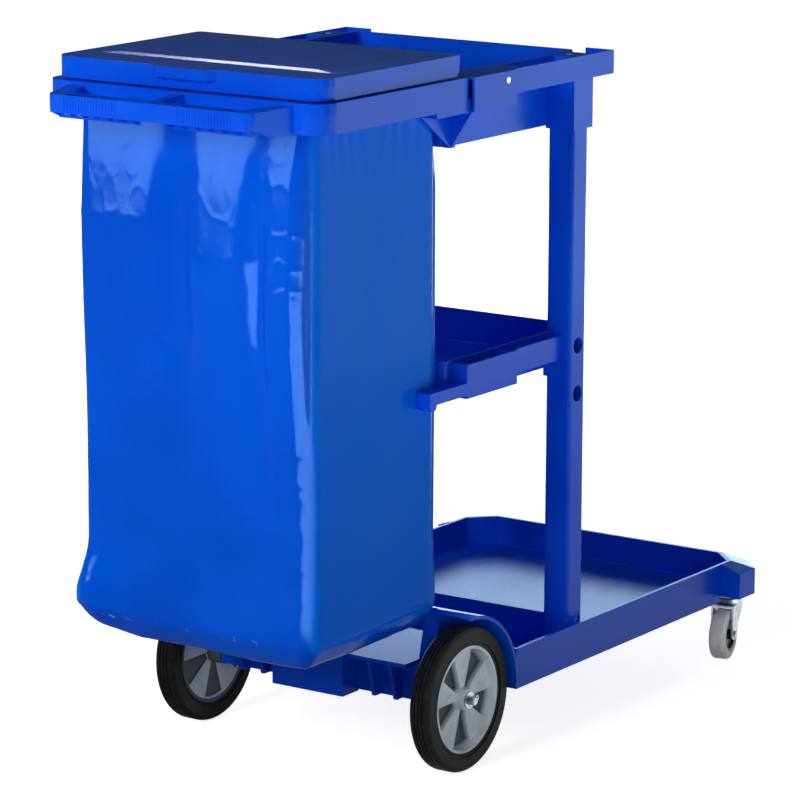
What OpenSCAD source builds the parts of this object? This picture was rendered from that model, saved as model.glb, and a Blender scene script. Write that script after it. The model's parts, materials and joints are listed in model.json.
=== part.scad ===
// Janitor cart: moulded base on two fixed wheels and two casters, two posts, a shelf,
// a top tray, and a lidded frame that carries a hanging vinyl bag.
// X runs from the handle (-) to the platform (+), Y to the left, Z up from the floor.

/* [Rear wheels] */
// Diameter over the tread
wheel_d = 203.2; // [196:0.1:212]
// Width of the tyre
tyre_w = 32; // [28:0.5:35]
// Radius of the tyre's shoulders
shoulder_r = 7; // [4:0.5:9]
// Number of grooves round the tread
groove_count = 3; // [2:1:4]
// Width of one tread groove
groove_w = 2; // [1:0.25:3]
// Depth of one tread groove
groove_h = 2; // [1:0.25:3]
// Outside diameter of the hub's rim, where the tyre sits
rim_d = 150; // [140:1:160]
// Thickness of the hub's rim
rim_wall = 4; // [3:0.5:6]
// Number of wedge spokes on a hub
spoke_count = 5; // [4:1:6]
// Angle that one spoke spans
spoke_angle = 37; // [25:1:45]
// Depth of the spokes' faces behind the rim's edge
spoke_inset = 9; // [6:0.5:11]
// Depth of the hub's web behind the wheel's middle
web_back = 5.5; // [4:0.5:7]
// Slope of the rim's inner face towards the spokes
rim_slope = 5; // [2:0.5:8]
// Thickness of the hub's web
web_t = 4; // [3:0.5:6]
// Diameter of the hub's centre boss
boss_d = 32; // [28:1:40]
// Distance between the middle planes of the two wheels
track = 433; // [430:1:436]
// Diameter of the axle
axle_d = 12.7; // [10:0.1:14]
// Diameter of the axle washers
washer_d = 24; // [20:0.5:28]
// Thickness of the axle washers
washer_t = 2; // [1:0.25:3]
// Diameter of the split pins
pin_d = 3.2; // [2:0.1:4]
// Length of the axle beyond each split pin
axle_tail = 6; // [4:0.5:10]

/* [Casters] */
// Diameter of the caster wheels
caster_d = 76; // [70:1:82]
// Width of the caster tyres
caster_w = 25; // [20:0.5:28]
// Diameter of the caster wheels' cores
core_d = 52; // [44:1:58]
// Diameter of the caster axles
caster_axle_d = 8; // [6:0.5:10]
// Distance from the swivel axis back to the wheel's axis
caster_trail = 26; // [18:1:30]
// Angle that the casters are turned from straight ahead
caster_turn = 13; // [0:1:40]
// Space between the caster wheel and the top of its fork
fork_gap = 4; // [3:0.5:8]
// Thickness of the fork's steel
fork_t = 3; // [2:0.25:4]
// Height of the swivel cup on the fork
cup_h = 6; // [4:0.5:9]
// Diameter of the swivel cup
cup_d = 38; // [34:1:44]
// Thickness of the swivel washer
swivel_t = 2; // [1.5:0.25:4]
// Thickness of the flange on the stem
flange_t = 2; // [1.5:0.25:4]
// Height of the stem's shoulder under the bumper
shoulder_h = 6.7; // [4:0.1:10]
// Diameter of the caster stems
stem_d = 11; // [9:0.5:13]
// Length of the stem inside the base
stem_l = 38; // [30:1:42]

/* [Base] */
// Width over the base's side walls
base_w = 480; // [476:1:490]
// Height of the base's side walls
base_h = 58; // [52:1:66]
// Thickness of the base's walls
base_wall = 5; // [4:0.5:6]
// Thickness of the base's floor
floor_t = 4; // [3:0.5:6]
// Height of the platform's floor above the walls' lower edge
floor_rise = 15; // [13:1:24]
// Height of the bumpers' underside above the walls' lower edge
bump_rise = 8; // [6:0.5:11]
// Distance from the axle to the platform's end
platform_x = 745; // [720:1:780]
// Length of a bumper along the platform's side
bump_l = 65; // [58:1:80]
// How far a bumper stands out from the side wall
bump_out = 32; // [26:1:38]
// How far a bumper stands out from the platform's end
bump_end = 17; // [14:1:28]
// Drop of a bumper's top towards its outer faces
bump_drop = 11; // [6:0.5:16]
// Cut across the platform's two inner corners
corner_cut = 36; // [30:1:42]
// Height of the cross wall above the side walls
cross_rise = 8; // [4:0.5:14]
// Space between a tyre and its fender
fender_gap = 12.4; // [10:0.2:15]
// Thickness of the fenders
fender_wall = 5; // [4:0.5:6]
// How far the fender's lip reaches past the wheel's top
lip_reach = 8; // [4:1:16]
// Space between a tyre and the well's inner wall
well_gap = 22; // [18:0.5:26]
// Width of the hollow wall beside each wheel well
well_wall_w = 25; // [22:1:30]
// How far the deck reaches in front of the axle
deck_reach = 45; // [40:1:52]
// Thickness of the deck
deck_t = 6; // [4:0.5:8]
// Width of the box under the deck
nose_w = 120; // [100:1:140]
// How far the box under the deck reaches past its edge
nose_reach = 10; // [6:1:16]
// Thickness of the ribs under the base
rib_t = 4; // [3:0.5:6]

/* [Posts] */
// Distance from the axle to the posts' middle
post_x = 284.5; // [275:0.5:295]
// Depth of a post along the cart
post_l = 41; // [38:0.5:46]
// Width of a post across the cart
post_w = 41; // [38:0.5:46]
// Clear distance between the two posts
post_span = 368; // [362:1:376]
// Wall thickness of the posts
post_wall = 3.5; // [3:0.25:5]
// Corner radius of the posts
post_r = 6; // [4:0.5:8]
// Height of the seam at a post's foot above the base's walls
collar_rise = 5; // [3:0.5:10]
// Height of the spigot inside a post's foot
spigot_h = 50; // [40:1:70]
// Diameter of the screw openings in the posts
access_d = 23; // [20:0.5:26]
// Distance between the two screw openings
access_pitch = 69; // [60:1:78]

/* [Top tray] */
// Height of the rim above the floor
rim_z = 958; // [930:1:990]
// Distance from the axle to the tray's front face
tray_x = 3; // [0:0.5:8]
// Length of the tray
tray_l = 331; // [322:1:336]
// Height of the tray
tray_h = 98; // [90:1:110]
// Wall thickness of the tray
tray_wall = 4; // [3:0.25:5]
// Height of the tool rails
rail_h = 33; // [28:1:38]
// Thickness of the rails' outer plates
rail_t = 3.5; // [3:0.25:4.5]
// Length of the block that holds the bag frame
block_l = 104; // [98:1:112]
// Height of that block
block_h = 46.5; // [44:0.5:52]
// How far the block stands out from the rail
block_out = 4; // [3:0.5:6]
// Length of the bridge between block and slot
bridge_l = 26; // [18:1:34]
// Width of the rim flange beside the slot
flange_w = 10; // [6:0.5:14]
// Height of the post sockets
socket_h = 102; // [90:1:115]
// Length of the hooked ears past the post sockets
ear_l = 55; // [45:1:65]
// Length of the ledges under the bag frame
ledge_l = 80; // [70:1:90]
// Height of the ledges
ledge_h = 19; // [16:0.5:22]
// Length of the gussets under the ledges
gusset_l = 72; // [60:1:76]

/* [Middle shelf] */
// Height of the shelf's rim above the floor
shelf_z = 566; // [540:1:600]
// Depth of the shelf from its rim to its underside
shelf_h = 50; // [46:1:56]
// Distance from the axle to the shelf's front
shelf_x = 5; // [2:0.5:10]
// Length of the shelf
shelf_l = 338; // [328:1:350]
// Wall thickness of the shelf
shelf_wall = 3.5; // [3:0.25:5]
// Clear width of the slots in the side holders
slot_w = 24; // [23:0.5:26]
// Start of the side holders behind the shelf's front
holder_x = 18; // [14:1:24]
// Length of the deep part of a side holder
holder_l = 125; // [110:1:140]
// Height of the shallow part of a side holder
holder_h = 34; // [28:1:38]
// Length of the foot bars beside the bag
foot_l = 85; // [75:1:92]
// Height of the foot bars
foot_h = 17; // [14:0.5:20]

/* [Bag frame] */
// Length of the frame without its handle
frame_l = 339; // [332:1:346]
// Width of the frame
frame_w = 452; // [448:1:456]
// Height of the frame's skirt
frame_h = 40; // [36:1:46]
// Wall thickness of the frame
frame_wall = 4; // [3:0.25:5]
// Radius of the frame's front corners
frame_r = 32; // [24:1:40]
// Distance from the frame's front to the bag's hoop
hoop_front = 28; // [24:0.5:32]
// Distance from the frame's back to the bag's hoop
hoop_back = 23; // [21:0.5:26]
// Width of the hoop that the bag hangs on
hoop_w = 370; // [362:1:374]
// Height of the hoop below the frame's top
hoop_h = 33; // [28:1:40]
// Reach of the handle in front of the frame
handle_reach = 72; // [64:1:82]
// Width of the handle at its bar
handle_w = 330; // [320:1:344]
// Width of the handle at the frame
arms_w = 364; // [350:1:376]
// Depth of the handle's bar
handle_bar = 24; // [20:0.5:30]
// Height of the handle's bar
handle_h = 24; // [20:0.5:28]
// Outer corner radius of the handle
handle_r = 16; // [12:1:22]
// Inner corner radius of the handle
handle_in_r = 10; // [6:1:14]
// Distance from the frame's top down to the bar's top
handle_drop = 7; // [4:0.5:10]
// Drop of the finger guard behind each grip
guard_h = 9; // [6:0.5:12]
// Width of the strut behind the bar's middle
strut_w = 16; // [10:1:24]
// Number of ridges in one grip
grip_count = 18; // [12:1:20]
// Distance between two ridges
grip_pitch = 4.9; // [4:0.1:5.5]
// Height of a ridge
ridge_h = 1.2; // [0.8:0.1:1.6]
// Distance of each grip's middle from the cart's middle
grip_y = 92; // [84:1:98]

/* [Lid] */
// Length of the lid
lid_l = 320; // [314:1:324]
// Width of the lid
lid_w = 436; // [428:1:442]
// Height of the lid
lid_h = 30; // [28:0.5:36]
// Space under the lid's skirt
lid_gap = 2; // [1.5:0.25:4]
// Wall thickness of the lid
lid_wall = 3; // [2:0.25:4]
// Height of the raised panel on the lid
panel_h = 1.6; // [1:0.1:2.5]
// Distance of the raised panel from the lid's front
panel_front = 62; // [40:1:80]
// Length of the ramp at the raised panel's front
panel_ramp = 12; // [4:1:16]
// Distance of the raised panel from the lid's sides
panel_side = 10; // [8:1:16]
// Distance of the raised panel from the lid's back
panel_back = 15; // [10:1:20]
// Width of the finger tab
tab_w = 110; // [90:1:120]
// Reach of the finger tab
tab_reach = 11; // [8:0.5:14]
// Diameter of the hinge pins
hinge_d = 6; // [5:0.25:7]
// Diameter of the hinge knuckles
knuckle_d = 15; // [13:0.5:16]
// Distance of each hinge from the middle
hinge_y = 150; // [120:1:165]

/* [Bag] */
// Wall of the bag
bag_t = 3; // [2:0.25:4]
// Height of the bag's underside above the floor
bag_z = 204; // [190:1:230]
// Radius of the bag's bottom edge
bag_edge = 42; // [36:1:48]
// Outward flare of the bag near its bottom
bag_flare = 12; // [4:0.5:18]
// Bulge of the bag's back below the frame
bag_bulge = 11; // [4:0.5:14]
// Diameter of the pegs in the bag's eyelets
peg_d = 6; // [5:0.5:7]
// Diameter of the eyelets
eyelet_d = 15; // [12:0.5:18]

/* [Fits] */
// Radial running clearance of pins and shafts
run_gap = 0.05; // [0.02:0.01:0.1]
// Clearance between pieces that plug together
fit_gap = 0.2; // [0.1:0.05:0.3]
// Clearance beside turning pieces and soft pieces
side_gap = 0.3; // [0.3:0.05:0.4]
// Shank diameter of the screws
screw_d = 4; // [3:0.25:5]
// Head diameter of the screws
head_d = 9; // [8:0.5:10]
// Head height of the screws
head_h = 3; // [2.5:0.25:3.5]

/* [Hidden] */
$fn = 64;

plastic = [0.02, 0.28, 0.86];
vinyl = [0.01, 0.31, 0.80];
rubber = [0.10, 0.10, 0.11];
grey_plastic = [0.55, 0.58, 0.61];
grey_rubber = [0.41, 0.42, 0.44];
black_plastic = [0.07, 0.07, 0.08];
zinc = [0.80, 0.81, 0.83];
nylon = [0.16, 0.16, 0.17];
brass = [0.72, 0.60, 0.32];
eps = 1;
bag_gap = 0.3;

// Rear axle and wheels
axle_z = wheel_d / 2;
wheel_y = track / 2;
tyre_in_y = wheel_y - tyre_w / 2;
tyre_out_y = wheel_y + tyre_w / 2;
well_y = tyre_in_y - well_gap;
hub_in_y = well_y + washer_t + side_gap;
hub_out_y = tyre_out_y;
washer_out_y = hub_out_y + side_gap;
pin_gap = 0.1;
pin_y = washer_out_y + washer_t + pin_gap + pin_d / 2;
axle_end_y = pin_y + pin_d / 2 + axle_tail;
pin_eye_r = pin_d * 1.1;
pin_over = 3;
pin_wire = 0.8;
bead_in = 2;
bead_h = 6;

// Casters: the heights add up from the floor to the bumper's underside
fork_z = caster_d + fork_gap;
cup_z = fork_z + fork_t;
swivel_z = cup_z + cup_h;
flange_z = swivel_z + swivel_t + side_gap;
shoulder_z = flange_z + flange_t;
bump_z = shoulder_z + shoulder_h;
rivet_h = 2.5;
rivet_rim = 3;
rivet_d = stem_d + 2 * rivet_rim;
flange_in = 1.5;
flange_d = cup_d - 2 * flange_in;
nut_rim = 5;
nut_d = stem_d + 2 * nut_rim;
leg_gap = 2;
leg_y = caster_w / 2 + leg_gap;
leg_rim = 4;
leg_end_r = caster_axle_d / 2 + leg_rim;
plate_x = cup_d / 2 - leg_rim;
leg_top = 6;
axle_head_h = 3;
axle_head_d = caster_axle_d + leg_rim;

// Base
base_z = bump_z - bump_rise;
wall_z = base_z + base_h;
floor_z = base_z + floor_rise;
side_y = base_w / 2;
inner_y = side_y - base_wall;
bump_in = 10;
bump_x = platform_x - bump_l;
bump_y = side_y + bump_out;
bump_x1 = platform_x + bump_end;
swivel_in = 23;
swivel_side = 10;
swivel_x = platform_x - swivel_in;
swivel_y = side_y - swivel_side;
arch_r = axle_z + fender_gap + fender_wall;
arch_x = -5;
arch_x1 = arch_x + arch_r;
arch_z = axle_z + arch_r;
well_wall_y = well_y - well_wall_w;
back_in = 29;
rib_pitch = 36;
rib_lean = 15;
nose_drop = 2;
back_x = deck_reach - back_in;
axle_boss_d = 2 * axle_d;
well_lean_x = 12;
well_foot_x = 5;
lip_far_x = 6;
post_x0 = post_x - post_l / 2;
post_x1 = post_x + post_l / 2;
post_y0 = post_span / 2;
post_y1 = post_y0 + post_w;
post_mid_y = post_y0 + post_w / 2;
collar_z = wall_z + collar_rise;
spigot_inset = post_wall + fit_gap;
spigot_wall = 3;
sleeve_t = 2.5;
sleeve_l = 9;
foot_screw_z = collar_z + spigot_h / 2;
cross_in = 6;
cross_x = post_x0 + cross_in;

// Top tray
cap_t = 6;
tray_y = post_y0 - fit_gap;
tray_z = rim_z - tray_h;
tray_x1 = tray_x + tray_l;
rail_y = post_y1 + fit_gap + rail_t;
rail_z = rim_z - rail_h;
block_y = rail_y + block_out;
block_x1 = tray_x + block_l;
block_z = rim_z - block_h;
slot_x0 = block_x1 + bridge_l;
socket_wall = 4;
socket_x0 = post_x0 - fit_gap - socket_wall;
socket_x1 = post_x1 + fit_gap + socket_wall;
post_top = rim_z - cap_t;
ledge_x0 = tray_x - ledge_l;
ledge_up = 12;
ledge_z1 = rim_z - frame_h + ledge_up;
ledge_z0 = ledge_z1 - ledge_h;
bag_room = 2;
ledge_y0 = hoop_w / 2 + bag_gap + bag_t + bag_room;
ledge_y1 = frame_w / 2;
gusset_foot = 12;
tray_r = 10;
screw_in = 21;
screw_drop = 12.5;
tongue_screw_x = block_x1 - screw_in;
tongue_screw_z = rim_z - screw_drop;

// Middle shelf
shelf_y = tray_y;
shelf_z0 = shelf_z - shelf_h;
shelf_x1 = shelf_x + shelf_l;
shelf_r = 12;
screw_boss_d = 12;
shelf_screw_drop = 17;
shelf_screw_z = shelf_z - shelf_screw_drop;
holder_y = shelf_y + slot_w + shelf_wall;
holder_x0 = shelf_x + holder_x;
holder_x1 = holder_x0 + holder_l;
holder_end = post_x0 - fit_gap;
foot_lift = 5;
lobe_r = 8;
deep_drop = 3;
rail_drop = 1;
end_drop = 11;
foot_z = shelf_z0 + foot_lift;
foot_y0 = ledge_y0;

// Bag frame and handle
butt_gap = 1;
frame_x1 = tray_x - butt_gap;
frame_x0 = frame_x1 - frame_l;
frame_y = frame_w / 2;
frame_z = rim_z - frame_h;
frame_back_r = 6;
hoop_x0 = frame_x0 + hoop_front;
hoop_x1 = frame_x1 - hoop_back;
hoop_y = hoop_w / 2;
hoop_r = 17;
hoop_wall = 3.5;
peg_drop = 20;
peg_z = rim_z - peg_drop;
peg_spread = 0.62;
peg_along = [0.25, 0.75];
peg_l = 9;
handle_x = frame_x0 - handle_reach;
bar_x = handle_x + ridge_h;
bar_z1 = rim_z - handle_drop;
bar_z0 = bar_z1 - handle_h;
handle_y = handle_w / 2;
arms_y = arms_w / 2;
arm_drop = 5;
guard_l = 130;
guard_cells = 6;
guard_t = 2;
tongue_t = 8;
tongue_side = 20.7;
tongue_end = 6;
tongue_y1 = block_y - tongue_side;
tongue_y0 = tongue_y1 - tongue_t;
tongue_x1 = block_x1 - tongue_end;

// Lid
lid_back = 7;
lid_x1 = frame_x1 - lid_back;
lid_x0 = lid_x1 - lid_l;
lid_y = lid_w / 2;
lid_z0 = rim_z + lid_gap;
lid_z1 = lid_z0 + lid_h;
lid_r = 28;
lid_back_r = 8;
panel_r = 20;
panel_slope = 30;
skin = 0.1;
tab_t = 14;
tab_run = 18;
tab_steps = 8;
pad_d = 10;
hinge_in = 12;
hinge_drop = 16;
hinge_x = lid_x1 - hinge_in;
hinge_z = lid_z1 - hinge_drop;
heel_cut = 14;
lug_w = 6;
lug_gap = 0.5;
knuckle_w = 26;
lug_y = knuckle_w / 2 + lug_gap;

// Bag
bag_r = hoop_r + bag_gap + bag_t;
eyelet_t = 1.2;
hem_gap = 2;
hem_z = rim_z - frame_wall - hem_gap;
hem_h = 52;
belly_z = bag_z + bag_edge;

// The part's origin lies under the middle of its length
mid_x = (bump_x1 + handle_x) / 2;

// Helpers
module shifted() {
    translate([-mid_x, 0, 0]) children();
}

module both_sides() {
    children();
    mirror([0, 1, 0]) children();
}

module on_side(side) {
    mirror([0, side == "left" ? 0 : 1, 0]) children();
}

// Block between two opposite corners
module block(lo, hi) {
    translate(lo) cube(hi - lo);
}

// Profile drawn in X and Z, extruded along Y
module along_y(y0, y1) {
    translate([0, y1, 0]) rotate([90, 0, 0]) linear_extrude(y1 - y0) children();
}

// Profile drawn in Y and Z, extruded along X
module along_x(x0, x1) {
    translate([x0, 0, 0]) rotate([90, 0, 90]) linear_extrude(x1 - x0) children();
}

// Rod along Y between two planes
module rod_y(x, z, d, y0, y1) {
    translate([x, y0, z]) rotate([-90, 0, 0]) cylinder(d = d, h = y1 - y0);
}

// Rectangle that is symmetric across the cart, with front and back corner radii
module plan(x0, x1, y, r0, r1) {
    translate([x0 + r0, -y]) square([x1 - x0 - r0 - r1, 2 * y]);
    translate([x0, r0 - y]) square([r0, 2 * (y - r0)]);
    translate([x1 - r1, r1 - y]) square([r1, 2 * (y - r1)]);
    for (s = [-1, 1]) {
        translate([x0 + r0, s * (y - r0)]) circle(r0);
        translate([x1 - r1, s * (y - r1)]) circle(r1);
    }
}

// Open box with rounded corners
module bowl(x0, x1, y, z0, z1, wall, base, r) {
    difference() {
        translate([0, 0, z0]) linear_extrude(z1 - z0) plan(x0, x1, y, r, r);
        translate([0, 0, z0 + base]) linear_extrude(z1 - z0)
            plan(x0 + wall, x1 - wall, y - wall, r - wall, r - wall);
    }
}

// Outline of a post, drawn smaller by an inset
module post_outline(inset) {
    l = post_l - 2 * inset;
    w = post_w - 2 * inset;
    r = max(post_r - inset, 1);
    translate([post_x, post_mid_y]) plan(-l / 2, l / 2, w / 2, r, r);
}

// Screw with its head's seat at the origin, pointing along -Z
module screw(length) {
    cylinder(d = head_d, h = head_h);
    translate([0, 0, -length]) cylinder(d = screw_d, h = length);
}

// Base: tray, bumpers and their caster seats
module tub_plan(inset) {
    x0 = arch_x1 - fender_wall + inset;
    x1 = platform_x - inset;
    y = side_y - inset;
    polygon([[x0, -y], [x1 - corner_cut, -y], [x1, corner_cut - y],
             [x1, y - corner_cut], [x1 - corner_cut, y], [x0, y]]);
}

module bumper_plan(out_y, out_x) {
    cut = corner_cut;
    y0 = side_y - corner_cut - bump_in;
    polygon([[bump_x, inner_y], [bump_x, out_y], [out_x - cut, out_y],
             [out_x, out_y - cut], [out_x, y0], [platform_x - base_wall, y0]]);
}

module bumper() {
    translate([0, 0, bump_z]) hull() {
        linear_extrude(wall_z - bump_z - bump_drop) bumper_plan(bump_y, bump_x1);
        linear_extrude(wall_z - bump_z) bumper_plan(side_y, platform_x);
    }
}

module tub() {
    difference() {
        union() {
            translate([0, 0, base_z]) linear_extrude(base_h) tub_plan(0);
            both_sides() bumper();
        }
        translate([0, 0, floor_z]) linear_extrude(base_h) tub_plan(base_wall);
        translate([0, 0, base_z - eps]) linear_extrude(floor_rise - floor_t + eps) tub_plan(base_wall);
        both_sides() block([bump_x - base_wall, inner_y - corner_cut, base_z - eps],
                           [bump_x1 + eps, bump_y + eps, bump_z]);
    }
}

// Ribs under the floor, crossing each other
module floor_ribs() {
    cells_x = 5;
    cells_y = 4;
    x0 = arch_x1;
    x1 = platform_x - base_wall;
    for (i = [1 : cells_x - 1]) {
        x = x0 + (x1 - x0) * i / cells_x;
        block([x, -inner_y, base_z], [x + rib_t, inner_y, floor_z - eps]);
    }
    for (j = [1 : cells_y - 1]) {
        y = -inner_y + 2 * inner_y * j / cells_y;
        block([x0, y - rib_t / 2, base_z], [x1, y + rib_t / 2, floor_z - eps]);
    }
}

// Arch over a wheel with a straight back, drawn from the side
module arch_side(inset) {
    translate([arch_x, axle_z]) circle(arch_r - inset);
    translate([arch_x, base_z - inset]) square([arch_r - inset, axle_z - base_z + inset]);
}

// Hollow wall beside a wheel well
module well_side(inset) {
    intersection() {
        arch_side(inset);
        polygon([[inset - back_x, base_z - inset], [inset - back_x, wall_z - deck_t],
                 [inset - well_foot_x, wall_z], [inset + well_lean_x, arch_z],
                 [arch_x1, arch_z], [arch_x1, base_z - inset]]);
    }
}

module fender_side() {
    intersection() {
        difference() {
            arch_side(0);
            arch_side(fender_wall);
        }
        polygon([[-lip_reach, axle_z], [-lip_reach, arch_z + eps], [arch_x1 + eps, arch_z + eps],
                 [arch_x1 + eps, base_z], [0, base_z], [0, axle_z]]);
    }
}

module wheel_well() {
    difference() {
        along_y(well_wall_y, well_y) well_side(0);
        along_y(well_wall_y + rib_t, well_y - rib_t) well_side(rib_t);
    }
    rod_y(0, axle_z, axle_boss_d, well_wall_y, well_y);
    difference() {
        along_y(well_y - rib_t, side_y) fender_side();
        // The lip's front edge slants back towards the well's inner wall
        translate([0, 0, axle_z]) linear_extrude(arch_r + eps)
            polygon([[-arch_r, well_wall_y], [well_lean_x, well_wall_y], [lip_far_x, well_y],
                     [-lip_reach, side_y], [-arch_r, side_y + eps]]);
    }
}

// Deck under the bag, its back wall, the box below it and the tapered ribs
module deck() {
    rib_y = [nose_w / 2 + rib_pitch, nose_w / 2 + 2 * rib_pitch];
    rib_foot = deck_reach - rib_lean;
    block([-deck_reach, -well_wall_y - rib_t, wall_z - deck_t], [arch_x1, well_wall_y + rib_t, wall_z]);
    block([-back_x, -well_wall_y - rib_t, base_z], [base_wall - back_x, well_wall_y + rib_t, wall_z]);
    block([arch_x1 - fender_wall, -well_y, base_z], [arch_x1, well_y, wall_z]);
    difference() {
        block([-deck_reach - nose_reach, -nose_w / 2, base_z - nose_drop], [-back_x, nose_w / 2, wall_z]);
        block([base_wall - deck_reach - nose_reach, base_wall - nose_w / 2, base_z - nose_drop - eps],
              [eps - back_x, nose_w / 2 - base_wall, wall_z - deck_t]);
    }
    both_sides() {
        for (y = rib_y) {
            along_y(y - rib_t, y + rib_t / 2)
                polygon([[eps - deck_reach, wall_z - deck_t], [-rib_foot, base_z],
                         [-back_x, base_z], [-back_x, wall_z - deck_t]]);
        }
        along_y(nose_w / 2 - base_wall, nose_w / 2)
            polygon([[-back_x, base_z], [axle_boss_d, base_z], [axle_boss_d * 2, wall_z - deck_t],
                     [-back_x, wall_z - deck_t]]);
    }
}

module post_collar() {
    translate([0, 0, floor_z - floor_t]) linear_extrude(collar_z - floor_z + floor_t) post_outline(0);
    translate([0, 0, collar_z - eps]) linear_extrude(spigot_h + eps) post_outline(spigot_inset);
}

module base_platform() {
    color(plastic) shifted() difference() {
        union() {
            tub();
            floor_ribs();
            deck();
            both_sides() {
                wheel_well();
                post_collar();
            }
            block([cross_x, -inner_y, floor_z - eps], [cross_x + base_wall, inner_y, wall_z + cross_rise]);
        }
        rod_y(0, axle_z, axle_d + 2 * run_gap, -well_y - eps, well_y + eps);
        both_sides() {
            translate([swivel_x, swivel_y, bump_z - eps])
                cylinder(d = stem_d + 2 * run_gap, h = stem_l + 2 * eps);
            translate([0, 0, base_z]) linear_extrude(base_h + spigot_h + 2 * collar_rise)
                post_outline(spigot_inset + spigot_wall);
            // Room for a post's tube round its spigot
            translate([0, 0, collar_z]) linear_extrude(base_h) difference() {
                post_outline(-fit_gap);
                post_outline(spigot_inset);
            }
            foot_screw_axis() translate([0, 0, -post_wall - fit_gap - spigot_wall - eps])
                cylinder(d = screw_d, h = spigot_wall + 2 * eps);
        }
    }
}

// Posts: square tubes with a closed top and two sleeved screw openings in the outer face
module foot_screw_axis() {
    translate([post_x1, post_mid_y, foot_screw_z]) rotate([0, 90, 0]) children();
}

module post(side) {
    access_z = [shelf_screw_z, shelf_screw_z - access_pitch];
    color(plastic) shifted() on_side(side) difference() {
        union() {
            difference() {
                translate([0, 0, collar_z]) linear_extrude(post_top - collar_z) post_outline(0);
                translate([0, 0, collar_z - eps]) linear_extrude(post_top - collar_z + eps - cap_t)
                    post_outline(post_wall);
            }
            for (z = access_z) {
                rod_y(post_x, z, access_d + 2 * sleeve_t, post_y1 - sleeve_l, post_y1 - eps);
            }
        }
        for (z = access_z) {
            rod_y(post_x, z, access_d, post_y1 - sleeve_l - eps, post_y1 + eps);
            rod_y(post_x, z, screw_d + 2 * fit_gap, post_y0 - eps, post_y0 + post_wall + eps);
        }
        foot_screw_axis() translate([0, 0, -post_wall - eps])
            cylinder(d = screw_d + 2 * fit_gap, h = post_wall + 2 * eps);
        translate([post_x, post_mid_y, post_top - cap_t - eps]) cylinder(d = screw_d, h = cap_t + 2 * eps);
    }
}

// Middle shelf: tray with slotted holders and foot bars at its sides
module shelf_holder() {
    deep_z = shelf_z - deep_drop;
    rail_z1 = shelf_z - rail_drop;
    y0 = holder_y - shelf_wall;
    divider_x = holder_x1 - holder_x;
    block([holder_x0, y0, shelf_z0], [holder_x1, holder_y, deep_z]);
    block([holder_x1 - eps, y0, rail_z1 - holder_h], [holder_end, holder_y, rail_z1]);
    block([holder_x0, shelf_y - eps, shelf_z0], [holder_x0 + shelf_wall, holder_y, deep_z]);
    block([divider_x, shelf_y - eps, shelf_z0], [divider_x + shelf_wall, holder_y, deep_z]);
    block([holder_end - shelf_wall, shelf_y - eps, shelf_z0 - end_drop], [holder_end, holder_y, rail_z1]);
    // Foot bar with a round lobe under its flat nose
    nose_x = holder_x0 + shelf_wall - foot_l - foot_h / 2;
    along_y(foot_y0, holder_y) {
        translate([nose_x, foot_z]) square([foot_l + foot_h / 2, foot_h]);
        translate([nose_x + lobe_r, foot_z]) circle(lobe_r);
    }
}

module mid_shelf() {
    color(plastic) shifted() difference() {
        union() {
            bowl(shelf_x, shelf_x1, shelf_y, shelf_z0, shelf_z, shelf_wall, shelf_wall, shelf_r);
            both_sides() {
                shelf_holder();
                rod_y(post_x, shelf_screw_z, screw_boss_d, shelf_y - screw_boss_d / 2, shelf_y - eps);
            }
        }
        both_sides() rod_y(post_x, shelf_screw_z, screw_d, shelf_y - screw_boss_d / 2 - eps, shelf_y + eps);
    }
}

// Top tray: bowl, tool rails, blocks for the bag frame, post sockets and hooked ears
module tool_rail() {
    plate_y = rail_y - rail_t;
    block([block_x1 - eps, plate_y, rail_z], [socket_x1 + ear_l, rail_y, rim_z]);
    block([block_x1 - eps, tray_y - eps, rim_z - rail_t], [slot_x0, rail_y, rim_z]);
    block([slot_x0 - rail_t, tray_y - eps, rail_z], [slot_x0, rail_y, rim_z]);
    block([slot_x0 - eps, tray_y - eps, rim_z - rail_t], [socket_x0 + eps, tray_y + flange_w, rim_z]);
    block([socket_x1 + ear_l - rail_t, tray_y, rail_z], [socket_x1 + ear_l, rail_y, rim_z]);
}

module frame_block() {
    inset = tray_wall;
    difference() {
        block([tray_x, tray_y - eps, block_z], [block_x1, block_y, rim_z]);
        block([tray_x - eps, tray_y + inset, block_z + inset],
              [block_x1 - inset, block_y - inset, rim_z - inset]);
    }
    rod_y(tongue_screw_x, tongue_screw_z, head_d + tray_wall, tongue_y1 + side_gap, block_y - eps);
}

module ledge() {
    difference() {
        block([ledge_x0, ledge_y0, ledge_z0], [tray_x + eps, ledge_y1, ledge_z1]);
        block([ledge_x0 + tray_wall, ledge_y0 + tray_wall, ledge_z0 - eps],
              [tray_x, ledge_y1 - tray_wall, ledge_z1 - tray_wall]);
    }
    along_y(ledge_y0, ledge_y0 + tray_wall)
        polygon([[tray_x - gusset_l, ledge_z0], [tray_x + eps, ledge_z0], [tray_x + eps, tray_z]]);
    block([tray_x, tray_y - eps, tray_z], [tray_x + gusset_foot, ledge_y0 + tray_wall, ledge_z0 + eps]);
    along_x(tray_x, tray_x + tray_wall)
        polygon([[tray_y - eps, tray_z], [tray_y - eps, block_z + eps],
                 [rail_y, block_z + eps], [rail_y, block_z], [ledge_y0 + tray_wall, tray_z]]);
}

module post_socket() {
    difference() {
        block([socket_x0, tray_y - eps, rim_z - socket_h], [socket_x1, rail_y, rim_z]);
        block([post_x0 - fit_gap, tray_y, rim_z - socket_h - eps],
              [post_x1 + fit_gap, post_y1 + fit_gap, post_top]);
    }
}

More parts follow.
